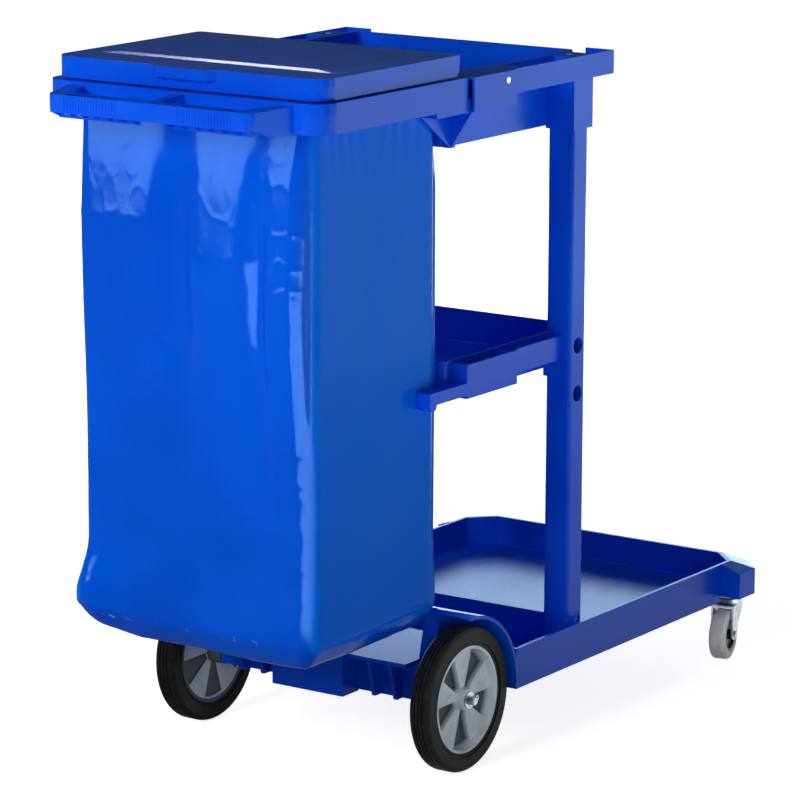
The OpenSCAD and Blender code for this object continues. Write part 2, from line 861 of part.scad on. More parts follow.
module top_tray() {
    color(plastic) shifted() difference() {
        union() {
            bowl(tray_x, tray_x1, tray_y, tray_z, rim_z, tray_wall, tray_wall, tray_r);
            both_sides() {
                tool_rail();
                frame_block();
                ledge();
                post_socket();
            }
        }
        both_sides() {
            translate([post_x, post_mid_y, rim_z - head_h])
                cylinder(d = head_d + tray_wall, h = head_h + eps);
            translate([post_x, post_mid_y, post_top - eps]) cylinder(d = screw_d + 2 * fit_gap, h = cap_t);
            rod_y(tongue_screw_x, tongue_screw_z, head_d + 2 * fit_gap, block_y - head_h, block_y + eps);
            rod_y(tongue_screw_x, tongue_screw_z, screw_d + 2 * fit_gap, tongue_y1, block_y);
        }
    }
}

// Bag frame: skirted ring with a hoop for the bag, hinge lugs, tongues and the handle
module peg_places() {
    for (y = [-1, 0, 1] * hoop_y * peg_spread) {
        translate([hoop_x0, y, peg_z]) rotate([0, -90, 0]) children();
        translate([hoop_x1, y, peg_z]) rotate([0, 90, 0]) children();
    }
    for (x = peg_along) {
        translate([hoop_x0 + (hoop_x1 - hoop_x0) * x, hoop_y, peg_z]) rotate([-90, 0, 0]) children();
        translate([hoop_x0 + (hoop_x1 - hoop_x0) * x, -hoop_y, peg_z]) rotate([90, 0, 0]) children();
    }
}

module hoop_plan(inset) {
    r = hoop_r - inset;
    plan(hoop_x0 + inset, hoop_x1 - inset, hoop_y - inset, r, r);
}

module frame_ring() {
    difference() {
        translate([0, 0, frame_z]) linear_extrude(frame_h)
            plan(frame_x0, frame_x1, frame_y, frame_r, frame_back_r);
        difference() {
            translate([0, 0, frame_z - eps]) linear_extrude(frame_h + eps - frame_wall)
                plan(frame_x0 + frame_wall, frame_x1 - frame_wall, frame_y - frame_wall,
                     frame_r - frame_wall, frame_back_r - frame_wall);
            translate([0, 0, rim_z - hoop_h]) linear_extrude(hoop_h) hoop_plan(0);
        }
        translate([0, 0, frame_z - eps]) linear_extrude(frame_h + 2 * eps)
            hoop_plan(hoop_wall);
        both_sides() block([ledge_x0 - fit_gap, ledge_y0 - fit_gap, frame_z - eps],
                           [frame_x1 + eps, frame_y + eps, ledge_z1]);
    }
    peg_places() translate([0, 0, -eps]) cylinder(d = peg_d, h = peg_l + eps);
}

// Points of a smooth step between two heights
function ease(x0, x1, z0, z1, n) =
    [for (i = [0 : n]) [x0 + (x1 - x0) * i / n, z0 + (z1 - z0) * (1 - cos(180 * i / n)) / 2]];

// Side view of the handle: its arms deepen towards the frame
module handle_side(inset) {
    back = frame_x0 + eps;
    mid = bar_x + handle_bar;
    fall = mid - handle_bar / 2;
    arm_z = rim_z - arm_drop - inset;
    steps = 8;
    polygon(concat(
        [[bar_x - eps, bar_z0 - inset]],
        ease(fall, fall + handle_bar, bar_z0 - inset, frame_z - inset, steps),
        [[back, frame_z - inset], [back, arm_z]],
        ease(back - handle_bar / 2, mid, arm_z, bar_z1 - inset, steps),
        [[bar_x - eps, bar_z1 - inset]]));
}

// Outline with rounded front corners whose sides spread towards the frame
module handle_outline(x0, x1, y0, y1, r) {
    c = [x0 + r, y0 - r];
    e = [x1, y1];
    a = atan2(e[1] - c[1], e[0] - c[0]) + acos(r / norm(e - c));
    t = c + r * [cos(a), sin(a)];
    polygon([[x0, -c[1]], [x0, c[1]], c, t, e, [e[0], -e[1]], [t[0], -t[1]], [c[0], -c[1]]]);
    for (s = [-1, 1]) {
        translate([c[0], s * c[1]]) circle(r);
    }
}

module handle_plan(inset) {
    wall = handle_bar - inset;
    difference() {
        handle_outline(bar_x + inset, frame_x0 + eps, handle_y - inset, arms_y - inset, handle_r - inset);
        handle_outline(bar_x + wall, frame_x0 + 2 * eps, handle_y - wall, arms_y - wall,
                       handle_in_r + inset);
    }
}

// Wall that hangs lower behind each grip, with ribs from the bar's front edge
module finger_guard() {
    back = bar_x + handle_bar;
    y0 = grip_y - guard_l / 2;
    block([back - frame_wall, y0, bar_z0 - guard_h], [back, y0 + guard_l, bar_z0 + frame_wall]);
    for (i = [0 : guard_cells]) {
        y = y0 + (guard_l - guard_t) * i / guard_cells;
        along_y(y, y + guard_t)
            polygon([[bar_x + frame_wall / 2, bar_z0], [bar_x + frame_wall / 2, bar_z0 + frame_wall],
                     [back - eps, bar_z0 + frame_wall], [back - eps, bar_z0 - guard_h]]);
    }
}

// Ridge across a grip: bowed on the bar's front, straight over its top
module grip_ridge() {
    end_r = ridge_h / 2;
    bow_r = handle_h * handle_h / (8 * (ridge_h - end_r));
    rotate_extrude($fn = 12) intersection() {
        square([ridge_h, handle_h]);
        translate([ridge_h - bow_r, handle_h / 2]) circle(bow_r, $fn = 240);
    }
    translate([0, 0, handle_h]) rotate([0, 90, 0]) cylinder(r = end_r, h = handle_bar / 2, $fn = 12);
}

module handle() {
    z_span = 2 * frame_h;
    back = bar_x + handle_bar;
    difference() {
        intersection() {
            translate([0, 0, frame_z - eps]) linear_extrude(z_span) handle_plan(0);
            along_y(-arms_y - eps, arms_y + eps) handle_side(0);
        }
        intersection() {
            translate([0, 0, frame_z - frame_h]) linear_extrude(z_span) handle_plan(frame_wall);
            along_y(-arms_y, arms_y) handle_side(frame_wall);
        }
    }
    both_sides() {
        finger_guard();
        for (i = [0 : grip_count - 1]) {
            translate([bar_x, grip_y + (i - (grip_count - 1) / 2) * grip_pitch, bar_z0]) grip_ridge();
        }
    }
    // Strut between the frame and the bar's middle
    along_y(-strut_w / 2, strut_w / 2)
        polygon([[back - eps, bar_z0], [back - eps, bar_z1], [frame_x0 + eps, rim_z - arm_drop / 2],
                 [frame_x0 + eps, bar_z0]]);
}

module hinge_lug() {
    along_y(-lug_w / 2, lug_w / 2) {
        translate([hinge_x, hinge_z]) circle(d = knuckle_d);
        translate([hinge_x - knuckle_d / 2, rim_z - eps]) square([knuckle_d, hinge_z - rim_z + eps]);
    }
}

module hinge_places() {
    for (s = [-1, 1]) {
        translate([0, s * hinge_y, 0]) children();
    }
}

module bag_frame() {
    color(plastic) shifted() difference() {
        union() {
            frame_ring();
            handle();
            hinge_places() for (s = [-1, 1]) {
                translate([0, s * (lug_y + lug_w / 2), 0]) hinge_lug();
            }
            both_sides() {
                block([frame_x1 - frame_wall, hoop_y, ledge_z1 + side_gap],
                      [frame_x1, tongue_y1, rim_z - tray_wall - side_gap]);
                block([frame_x1 - frame_wall, tongue_y0, ledge_z1 + side_gap],
                      [tongue_x1, tongue_y1, rim_z - tray_wall - side_gap]);
            }
        }
        hinge_places() rod_y(hinge_x, hinge_z, hinge_d, -lug_y - lug_w - eps, lug_y + lug_w + eps);
        both_sides() rod_y(tongue_screw_x, tongue_screw_z, screw_d, tongue_y0 - eps, tongue_y1 + eps);
    }
}

module hinge_pins() {
    color(zinc) shifted() hinge_places() rod_y(hinge_x, hinge_z, hinge_d, -lug_y - lug_w, lug_y + lug_w);
}

// Lid: shallow cap with a raised panel, a finger tab, hinge knuckles and a cut lower back edge
module lid_plan(inset) {
    plan(lid_x0 + inset, lid_x1 - inset, lid_y - inset, lid_r - inset, lid_back_r - inset);
}

module lid_panel(inset, ramp) {
    plan(lid_x0 + panel_front + ramp, lid_x1 - panel_back - inset, lid_y - panel_side - inset,
         panel_r, lid_back_r, $fn = 32);
}

module lid_shell() {
    cap_z = lid_z1 - panel_h;
    difference() {
        union() {
            translate([0, 0, lid_z0]) linear_extrude(cap_z - lid_z0) lid_plan(0);
            hull() {
                translate([0, 0, cap_z - skin]) linear_extrude(skin) lid_panel(0, 0);
                translate([0, 0, lid_z1 - skin]) linear_extrude(skin) lid_panel(panel_slope, panel_ramp);
            }
        }
        translate([0, 0, lid_z0 - eps]) linear_extrude(cap_z - lid_z0 + eps - lid_wall)
            lid_plan(lid_wall);
    }
    // Finger tab whose ends run out in a soft curve
    half_tab = tab_w / 2;
    tab_edge = concat(ease(-half_tab, tab_run - half_tab, 0, tab_reach, tab_steps),
                      ease(half_tab - tab_run, half_tab, tab_reach, 0, tab_steps));
    translate([0, 0, cap_z - tab_t]) linear_extrude(tab_t)
        polygon(concat([[lid_x0 + eps, -half_tab]], [for (p = tab_edge) [lid_x0 - p[1], p[0]]],
                       [[lid_x0 + eps, half_tab]]));
    // Rest pads inside the front edge
    for (s = [-1, 1]) {
        translate([lid_x0 + lid_r, s * (lid_y - lid_r), rim_z + fit_gap])
            cylinder(d = pad_d, h = cap_z - lid_wall / 2 - rim_z);
    }
}

module lid() {
    color(plastic) shifted() difference() {
        union() {
            difference() {
                lid_shell();
                // Lower back edge is cut away so that the lid can swing up
                along_y(-lid_y - eps, lid_y + eps)
                    polygon([[lid_x1 - heel_cut, lid_z0 - eps], [lid_x1 - heel_cut, lid_z0],
                             [lid_x1 + eps, lid_z0 + heel_cut + eps], [lid_x1 + eps, lid_z0 - eps]]);
                hinge_places() block([hinge_x, -lug_y - lug_w - eps, lid_z0],
                                     [lid_x1 + eps, lug_y + lug_w + eps, lid_z1 - panel_h - lid_wall]);
            }
            hinge_places() along_y(-knuckle_w / 2, knuckle_w / 2) {
                translate([hinge_x, hinge_z]) circle(d = knuckle_d);
                translate([hinge_x - knuckle_d / 2, hinge_z])
                    square([knuckle_d, lid_z1 - panel_h - hinge_z - eps]);
            }
        }
        hinge_places() rod_y(hinge_x, hinge_z, hinge_d + 2 * run_gap, -lug_y - lug_w, lug_y + lug_w);
    }
}

// Bag: lofted shell that hangs on the hoop, flares downwards and closes with a round edge
function arc(x, y, r, start, n) =
    [for (i = [0 : n]) [x + r * cos(start + 90 * i / n), y + r * sin(start + 90 * i / n)]];

function bag_ring(row, inset, n) =
    let (
        x0 = hoop_x0 - bag_gap - bag_t - row[1] + row[2] + inset,
        x1 = hoop_x1 + bag_gap + bag_t + row[3] - row[2] - inset,
        y = hoop_y + bag_gap + bag_t + row[1] - row[2] - inset,
        r = max(bag_r + row[1] - row[2] - inset, bag_t)
    )
    [for (p = concat(arc(x1 - r, y - r, r, 0, n), arc(x0 + r, y - r, r, 90, n),
                     arc(x0 + r, r - y, r, 180, n), arc(x1 - r, r - y, r, 270, n)))
        [p[0], p[1], max(row[0], inset > 0 ? bag_z + inset : 0)]];

// Each row of the loft: height, flare, inset and bulge of the back
side_rows = 6;
edge_rows = 5;
edge_turn = 82;
bag_rows = concat(
    [[hem_z, 0, 0, 0]],
    [for (i = [0 : side_rows]) let (t = i / side_rows)
        [hem_z - hem_h + (belly_z - hem_z + hem_h) * t, bag_flare * pow(t, 6), 0, i > 0 ? bag_bulge : 0]],
    [for (i = [1 : edge_rows]) let (a = edge_turn * i / edge_rows)
        [belly_z - bag_edge * sin(a), bag_flare, bag_edge * (1 - cos(a)), bag_bulge]]);

module bag_shell() {
    n = 6;
    count = 4 * (n + 1);
    rows = len(bag_rows);
    outer = [for (row = bag_rows) bag_ring(row, 0, n)];
    inner = [for (row = bag_rows) bag_ring(row, bag_t, n)];
    rings = concat(outer, [for (i = [rows - 1 : -1 : 0]) inner[i]]);
    last = len(rings);
    walls = [for (k = [0 : last - 1], j = [0 : count - 1])
        let (a = k * count + j, b = k * count + (j + 1) % count,
             c = ((k + 1) % last) * count + (j + 1) % count, d = ((k + 1) % last) * count + j)
        if (k != rows - 1) each [[a, b, c], [a, c, d]]];
    floor_out = [for (j = [0 : count - 1]) (rows - 1) * count + j];
    floor_in = [for (j = [count - 1 : -1 : 0]) rows * count + j];
    polyhedron([for (ring = rings) each ring], concat(walls, [floor_out, floor_in]), convexity = 6);
}

module bag() {
    color(vinyl) shifted() difference() {
        bag_shell();
        peg_places() cylinder(d = peg_d + 2 * side_gap, h = peg_l);
    }
}

module bag_eyelets() {
    color(brass) shifted() peg_places() translate([0, 0, bag_gap + bag_t]) difference() {
        cylinder(d = eyelet_d, h = eyelet_t);
        translate([0, 0, -eps]) cylinder(d = peg_d + 2 * side_gap, h = eyelet_t + 2 * eps);
    }
}

// Rear axle with its washers and split pins
module rear_axle() {
    bevel = 1.5;
    color(zinc) shifted() difference() {
        union() {
            rod_y(0, axle_z, axle_d, bevel - axle_end_y, axle_end_y - bevel);
            both_sides() translate([0, axle_end_y - bevel, axle_z]) rotate([-90, 0, 0])
                cylinder(d1 = axle_d, d2 = axle_d - 2 * bevel, h = bevel);
        }
        both_sides() translate([-axle_d, pin_y, axle_z]) rotate([0, 90, 0])
            cylinder(d = pin_d + 2 * pin_gap, h = 2 * axle_d);
    }
}

module axle_washers() {
    color(zinc) shifted() both_sides() for (y = [well_y, washer_out_y]) {
        difference() {
            rod_y(0, axle_z, washer_d, y, y + washer_t);
            rod_y(0, axle_z, axle_d + 2 * run_gap, y - eps, y + washer_t + eps);
        }
    }
}

module split_pins() {
    reach = axle_d / 2 + pin_over;
    color(zinc) shifted() both_sides() translate([0, pin_y, axle_z]) rotate([0, 90, 0]) {
        translate([0, 0, -reach]) cylinder(d = pin_d, h = 2 * reach);
        translate([0, 0, reach + pin_eye_r]) rotate([90, 0, 0]) rotate_extrude()
            translate([pin_eye_r, 0]) circle(d = pin_d * pin_wire);
    }
}

// Rear wheel: drawn with its axis along Z and its outer face up, then laid on the axle
module on_axle(side) {
    on_side(side) translate([0, wheel_y, axle_z]) rotate([-90, 0, 0]) children();
}

module rear_hub(side) {
    rim_r = rim_d / 2;
    half = tyre_w / 2 - bead_in;
    spoke_z0 = bead_in - half;
    spoke_h = half - spoke_inset - spoke_z0;
    web_z = -web_back - web_t;
    rim_in_r = rim_r - rim_wall - rim_slope;
    spread = rim_r * tan(spoke_angle / 2);
    bore = axle_d + 2 * run_gap;
    color(grey_plastic) shifted() on_axle(side) difference() {
        union() {
            rotate_extrude() polygon([[rim_in_r, web_z], [rim_r - rim_wall, -half], [rim_r, -half],
                                      [rim_r, half], [rim_r - rim_wall, half], [rim_in_r, -web_back]]);
            translate([0, 0, web_z]) cylinder(r = rim_r - rim_wall, h = web_t);
            translate([0, 0, hub_in_y - wheel_y]) cylinder(d = boss_d, h = hub_out_y - hub_in_y);
            intersection() {
                translate([0, 0, spoke_z0]) cylinder(r = rim_r - rim_wall / 2, h = spoke_h);
                for (i = [0 : spoke_count - 1]) {
                    rotate(360 * i / spoke_count - 90) translate([0, 0, spoke_z0])
                        linear_extrude(spoke_h) polygon([[0, 0], [rim_r, -spread], [rim_r, spread]]);
                }
            }
        }
        translate([0, 0, hub_in_y - wheel_y - eps]) cylinder(d = bore, h = hub_out_y - hub_in_y + 2 * eps);
    }
}

module rear_tyre(side) {
    r1 = wheel_d / 2;
    r0 = rim_d / 2;
    half = tyre_w / 2;
    pitch = (tyre_w - 2 * shoulder_r) / groove_count;
    color(rubber) shifted() on_axle(side) rotate_extrude() difference() {
        union() {
            translate([r0, bead_in - half]) square([r1 - r0 - shoulder_r, tyre_w - 2 * bead_in]);
            translate([r0 + bead_h, -half]) square([r1 - r0 - bead_h - shoulder_r, tyre_w]);
            translate([r0 + bead_h, shoulder_r - half]) square([r1 - r0 - bead_h, tyre_w - 2 * shoulder_r]);
            for (s = [-1, 1]) {
                translate([r1 - shoulder_r, s * (half - shoulder_r)]) circle(shoulder_r);
            }
        }
        for (i = [0 : groove_count - 1]) {
            translate([r1 - groove_h, (i - (groove_count - 1) / 2) * pitch - groove_w / 2])
                square([groove_h + eps, groove_w]);
        }
    }
}

// Casters: stem in the bumper, swivel fork and wheel
module at_swivel(side) {
    turn = side == "left" ? caster_turn : -caster_turn;
    on_side(side) translate([swivel_x, swivel_y, 0]) rotate(turn) children();
}

module caster_stem(side) {
    color(zinc) shifted() at_swivel(side) {
        translate([0, 0, fork_z - side_gap]) cylinder(d = stem_d, h = bump_z + stem_l - fork_z + side_gap);
        translate([0, 0, fork_z - side_gap - rivet_h]) cylinder(d = rivet_d, h = rivet_h);
        translate([0, 0, flange_z]) cylinder(d = flange_d, h = flange_t);
        translate([0, 0, shoulder_z]) cylinder(d = nut_d, h = shoulder_h, $fn = 6);
    }
}

module fork_leg() {
    front = -caster_trail - leg_end_r;
    translate([-caster_trail, caster_d / 2]) circle(leg_end_r);
    polygon([[front, caster_d / 2], [front, cup_z], [plate_x, cup_z], [plate_x, fork_z - leg_top],
             [leg_end_r - caster_trail, caster_d / 2]]);
}

module caster_fork(side) {
    front = -caster_trail - leg_end_r;
    wide = leg_y + fork_t;
    color(zinc) shifted() at_swivel(side) difference() {
        union() {
            for (s = [-1, 1]) {
                along_y(min(s * leg_y, s * wide), max(s * leg_y, s * wide)) fork_leg();
            }
            block([front, -wide, fork_z], [plate_x, wide, cup_z]);
            translate([0, 0, fork_z]) cylinder(d = cup_d, h = fork_t + cup_h);
        }
        translate([0, 0, fork_z - eps]) cylinder(d = stem_d + 2 * run_gap, h = fork_t + cup_h + 2 * eps);
        rod_y(-caster_trail, caster_d / 2, caster_axle_d, -wide - eps, wide + eps);
    }
}

module swivel_washer(side) {
    color(nylon) shifted() at_swivel(side) translate([0, 0, swivel_z]) difference() {
        cylinder(d = flange_d, h = swivel_t);
        translate([0, 0, -eps]) cylinder(d = stem_d + 2 * run_gap, h = swivel_t + 2 * eps);
    }
}

module caster_axle(side) {
    wide = leg_y + fork_t;
    color(zinc) shifted() at_swivel(side) {
        rod_y(-caster_trail, caster_d / 2, caster_axle_d, -wide, wide);
        for (y = [-wide - axle_head_h, wide]) {
            rod_y(-caster_trail, caster_d / 2, axle_head_d, y, y + axle_head_h);
        }
    }
}

module on_caster(side) {
    at_swivel(side) translate([-caster_trail, 0, caster_d / 2]) rotate([-90, 0, 0]) children();
}

module caster_core(side) {
    half = caster_w / 2;
    hub_half = leg_y - side_gap;
    dish = 5;
    ring = 4;
    hub_r = leg_end_r;
    color(black_plastic) shifted() on_caster(side) difference() {
        union() {
            rotate_extrude() difference() {
                translate([0, eps - half]) square([core_d / 2, caster_w - 2 * eps]);
                for (s = [-1, 1]) {
                    translate([hub_r, s > 0 ? half - dish : -half])
                        square([core_d / 2 - hub_r - ring, dish]);
                }
            }
            translate([0, 0, -hub_half]) cylinder(r = hub_r, h = 2 * hub_half);
        }
        translate([0, 0, -hub_half - eps])
            cylinder(d = caster_axle_d + 2 * run_gap, h = 2 * hub_half + 2 * eps);
    }
}

module caster_tyre(side) {
    r1 = caster_d / 2;
    r0 = core_d / 2;
    half = caster_w / 2;
    crown = 5;
    color(grey_rubber) shifted() on_caster(side) rotate_extrude() {
        translate([r0, -half]) square([r1 - r0 - crown, caster_w]);
        translate([r0, crown - half]) square([r1 - r0, caster_w - 2 * crown]);
        for (s = [-1, 1]) {
            translate([r1 - crown, s * (half - crown)]) circle(crown);
        }
    }
}

// Screws that hold the posts, the shelf, the tray and the bag frame
module foot_screws() {
    color(zinc) shifted() both_sides() foot_screw_axis() screw(post_wall + fit_gap + spigot_wall);
}

module shelf_screws() {
    color(zinc) shifted() both_sides() translate([post_x, post_y0 + post_wall, shelf_screw_z])
        rotate([-90, 0, 0]) screw(post_wall + fit_gap + screw_boss_d / 2);
}

module tray_screws() {
    color(zinc) shifted() both_sides() translate([post_x, post_mid_y, rim_z - head_h])
        screw(2 * cap_t - head_h);
}

module frame_screws() {
    color(zinc) shifted() both_sides() translate([tongue_screw_x, block_y - head_h, tongue_screw_z])
        rotate([-90, 0, 0]) screw(block_y - head_h - tongue_y0);
}

base_platform();
post("left");  // left_post
post("right");  // right_post
mid_shelf();
top_tray();
bag_frame();
hinge_pins();
lid();
bag();
bag_eyelets();
rear_axle();
axle_washers();
split_pins();
rear_hub("left");  // left_rear_hub
rear_tyre("left");  // left_rear_tyre
rear_hub("right");  // right_rear_hub
rear_tyre("right");  // right_rear_tyre
caster_stem("left");  // left_caster_stem
caster_fork("left");  // left_caster_fork
swivel_washer("left");  // left_swivel_washer
caster_axle("left");  // left_caster_axle
caster_core("left");  // left_caster_core
caster_tyre("left");  // left_caster_tyre
caster_stem("right");  // right_caster_stem
caster_fork("right");  // right_caster_fork
swivel_washer("right");  // right_swivel_washer
caster_axle("right");  // right_caster_axle
caster_core("right");  // right_caster_core
caster_tyre("right");  // right_caster_tyre
foot_screws();
shelf_screws();
tray_screws();
frame_screws();
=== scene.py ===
# Janitor cart: looks, hanging bag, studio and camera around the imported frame
import json
import math

import bpy
import numpy as np
from mathutils import Matrix, Vector, noise


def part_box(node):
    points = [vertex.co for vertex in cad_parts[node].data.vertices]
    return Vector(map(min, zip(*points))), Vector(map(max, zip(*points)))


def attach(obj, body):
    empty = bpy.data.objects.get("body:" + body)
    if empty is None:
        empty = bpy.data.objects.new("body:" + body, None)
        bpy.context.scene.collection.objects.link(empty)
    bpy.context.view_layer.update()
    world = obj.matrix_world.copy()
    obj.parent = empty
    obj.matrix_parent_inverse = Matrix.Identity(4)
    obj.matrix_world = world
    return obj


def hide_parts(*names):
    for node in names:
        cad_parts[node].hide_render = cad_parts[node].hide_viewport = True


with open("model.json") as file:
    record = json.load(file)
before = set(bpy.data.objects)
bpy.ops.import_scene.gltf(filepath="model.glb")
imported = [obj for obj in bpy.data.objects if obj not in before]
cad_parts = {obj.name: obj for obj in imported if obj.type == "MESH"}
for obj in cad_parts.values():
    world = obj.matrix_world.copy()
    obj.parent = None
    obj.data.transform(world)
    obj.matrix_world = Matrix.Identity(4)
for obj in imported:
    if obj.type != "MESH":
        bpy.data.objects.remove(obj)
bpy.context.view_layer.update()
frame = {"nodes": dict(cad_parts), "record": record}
nodes = frame["nodes"]
print("frame loaded:", len(nodes), "nodes")

white = (1.0, 1.0, 1.0, 1.0)
black = (0.0, 0.0, 0.0, 1.0)


# A socket that does shader maths as Python expressions
class Wire:
    def __init__(self, graph, socket):
        self.graph = graph
        self.socket = socket

    def maths(self, operation, other=0.0, swap=False):
        first, second = (other, self) if swap else (self, other)
        return self.graph.node("ShaderNodeMath", {"operation": operation}, {0: first, 1: second})

    def __add__(self, other):
        return self.maths("ADD", other)

    def __radd__(self, other):
        return self.maths("ADD", other, True)

    def __sub__(self, other):
        return self.maths("SUBTRACT", other)

    def __rsub__(self, other):
        return self.maths("SUBTRACT", other, True)

    def __mul__(self, other):
        return self.maths("MULTIPLY", other)

    def __rmul__(self, other):
        return self.maths("MULTIPLY", other, True)

    def __truediv__(self, other):
        return self.maths("DIVIDE", other)

    def __pow__(self, other):
        return self.maths("POWER", other)

    def __abs__(self):
        return self.maths("ABSOLUTE")

    def sin(self):
        return self.maths("SINE")

    def clip(self):
        return self.maths("MAXIMUM", 0.0).maths("MINIMUM", 1.0)

    def ramp(self, low, high):   # 0 at low, 1 at high, smooth between
        return self.graph.node("ShaderNodeMapRange", {"interpolation_type": "SMOOTHSTEP"},
                               {0: self, 1: low, 2: high})


# A node tree in which one method makes every node
class Graph:
    def __init__(self, name, home=bpy.data.materials):
        self.owner = home.new(name)
        self.owner.use_nodes = True
        self.tree = self.owner.node_tree
        self.tree.nodes.clear()

    def node(self, kind, settings=None, inputs=None, out=0):
        made = self.tree.nodes.new(kind)
        for key, value in (settings or {}).items():
            setattr(made, key, value)
        for key, value in (inputs or {}).items():
            if isinstance(value, Wire):
                self.tree.links.new(value.socket, made.inputs[key])
            else:
                made.inputs[key].default_value = value
        return Wire(self, made.outputs[out]) if made.outputs else None

    def place(self):
        return self.node("ShaderNodeTexCoord", out="Object")

    def axes(self):
        spot = self.place()
        return [self.node("ShaderNodeSeparateXYZ", None, {0: spot}, out=i) for i in range(3)]

    def stretch(self, factors):
        return self.node("ShaderNodeVectorMath", {"operation": "MULTIPLY"}, {0: self.place(), 1: factors})

    def cloud(self, scale, detail=3.0, rough=0.5, at=None):
        return self.node("ShaderNodeTexNoise", None, {"Vector": at or self.place(), "Scale": scale,
                                                      "Detail": detail, "Roughness": rough})

    def mix(self, factor, first, second):
        return self.node("ShaderNodeMix", {"data_type": "RGBA"}, {0: factor, 6: first, 7: second}, out=2)

    def bump(self, height, depth):
        return self.node("ShaderNodeBump", None, {"Height": height, "Distance": depth, "Strength": 1.0})

    def glow(self, tone):
        return self.node("ShaderNodeEmission", None, {"Color": tone, "Strength": 1.0})

    def matt(self, tone):
        return self.node("ShaderNodeBsdfDiffuse", None, {"Color": tone})

    def gloss(self, tone, rough, relief, constants):
        sockets = {"Base Color": tone, "Roughness": rough, "Normal": relief}
        return self.node("ShaderNodeBsdfPrincipled", None, {**sockets, **constants})

    def added(self, first, second):
        return self.node("ShaderNodeAddShader", None, {0: first, 1: second})

    def blended(self, factor, first, second):
        return self.node("ShaderNodeMixShader", None, {0: factor, 1: first, 2: second})

    def output(self, shader, kind="ShaderNodeOutputMaterial"):
        self.node(kind, None, {0: shader})
        return self.owner


def rgb(red, green, blue):   # 8-bit screen colour to linear
    def lin(v):
        v /= 255
        return v / 12.92 if v <= 0.04045 else ((v + 0.055) / 1.055) ** 2.4
    return (lin(red), lin(green), lin(blue), 1.0)


# Noise in the settings below is scale, detail and roughness; a span is where a mask starts and ends

# Blue moulded plastic: fine grain, slow tone drift, light rubbing marks
plastic = {"deep": rgb(3, 80, 224), "light": rgb(6, 90, 238), "worn": rgb(40, 116, 240),
           "drift": (5.0, 2.0), "driftSpan": (0.35, 0.65), "grain": (900.0, 2.0, 0.6), "grainDepth": 0.00005,
           "rubs": (38.0, 5.0, 0.65), "rubStretch": (1.0, 1.0, 2.6), "rubSpan": (0.62, 0.78),
           "rub": 0.05, "rubDull": 0.5, "rough": 0.25, "haze": (14.0, 4.0), "roughSpan": 0.10, "shine": 0.12}
lidPlastic = dict(plastic, rough=0.11, roughSpan=0.05, grainDepth=0.00001, rub=0.03)


def bluePlastic(name, look):
    g = Graph(name)
    drift = g.cloud(*look["drift"]).ramp(*look["driftSpan"])
    rubs = g.cloud(*look["rubs"], at=g.stretch(look["rubStretch"]))
    rub = rubs.ramp(*look["rubSpan"]) * look["rub"]
    tone = g.mix(drift, look["deep"], look["light"])
    tone = g.mix(rub, tone, look["worn"])
    rough = look["rough"] + look["roughSpan"] * (g.cloud(*look["haze"]) - 0.5) + rub * look["rubDull"]
    relief = g.bump(g.cloud(*look["grain"]), look["grainDepth"])
    return g.output(g.gloss(tone, rough, relief, {"Specular IOR Level": look["shine"]}))


# Black tyre rubber: fine moulded rings on the side wall, and dust
tyre = {"body": rgb(29, 29, 30), "dust": rgb(58, 58, 59), "axleX": -0.1765, "axleZ": 0.1016,
        "rings": 2600.0, "bandIn": (0.078, 0.082), "bandOut": (0.099, 0.101), "ringHeight": 0.6,
        "specks": (120.0, 4.0, 0.6), "speckSpan": (0.48, 0.75), "dusty": 0.30, "bandDust": 0.05,
        "pores": (700.0, 2.0), "poreHeight": 0.25, "relief": 0.0004,
        "rough": 0.36, "dustRough": 0.15, "shine": 0.07, "glint": (1.0, 0.80, 0.66, 1.0)}


def tyreRubber():
    g = Graph("tyreRubber")
    x, z = g.axes()[::2]
    radius = ((x - tyre["axleX"]) ** 2.0 + (z - tyre["axleZ"]) ** 2.0) ** 0.5
    rings = (radius * tyre["rings"]).sin()
    band = radius.ramp(*tyre["bandIn"]) * (1.0 - radius.ramp(*tyre["bandOut"]))
    dust = g.cloud(*tyre["specks"]).ramp(*tyre["speckSpan"])
    tone = g.mix(dust * tyre["dusty"] + band * tyre["bandDust"], tyre["body"], tyre["dust"])
    height = rings * band * tyre["ringHeight"] + g.cloud(*tyre["pores"]) * tyre["poreHeight"]
    rough = tyre["rough"] + tyre["dustRough"] * dust
    return g.output(g.gloss(tone, rough, g.bump(height, tyre["relief"]),
                            {"Specular IOR Level": tyre["shine"], "Specular Tint": tyre["glint"]}))


# Grey hub plastic with a faint flow pattern; painted shade darkens the pits between the spokes
hub = {"body": rgb(194, 200, 207), "shade": rgb(172, 179, 187), "pitShade": rgb(74, 78, 84),
       "outer": (0.2114, 0.2208), "inner": (0.2048, 0.2066), "boss": (0.2028, 0.2040),
       "flow": (30.0, 4.0, 0.55), "flowSpan": (0.35, 0.7), "specks": (500.0, 2.0), "relief": 0.00006,
       "rough": 0.42, "roughSpan": 0.1, "shine": 0.25}


def hubPlastic():
    g = Graph("hubPlastic")
    side = abs(g.axes()[1])
    flow = g.cloud(*hub["flow"])
    # painted shade: faces sunk between the spokes take the dark pit colour, the proud faces keep the
    # plastic's tone
    proud = side.ramp(*hub["outer"]) + (1.0 - side.ramp(*hub["inner"])) * side.ramp(*hub["boss"])
    tone = g.mix(flow.ramp(*hub["flowSpan"]), hub["body"], hub["shade"])
    tone = g.mix(proud, hub["pitShade"], tone)
    rough = hub["rough"] + hub["roughSpan"] * (flow - 0.5)
    relief = g.bump(g.cloud(*hub["specks"]), hub["relief"])
    return g.output(g.gloss(tone, rough, relief, {"Specular IOR Level": hub["shine"]}))


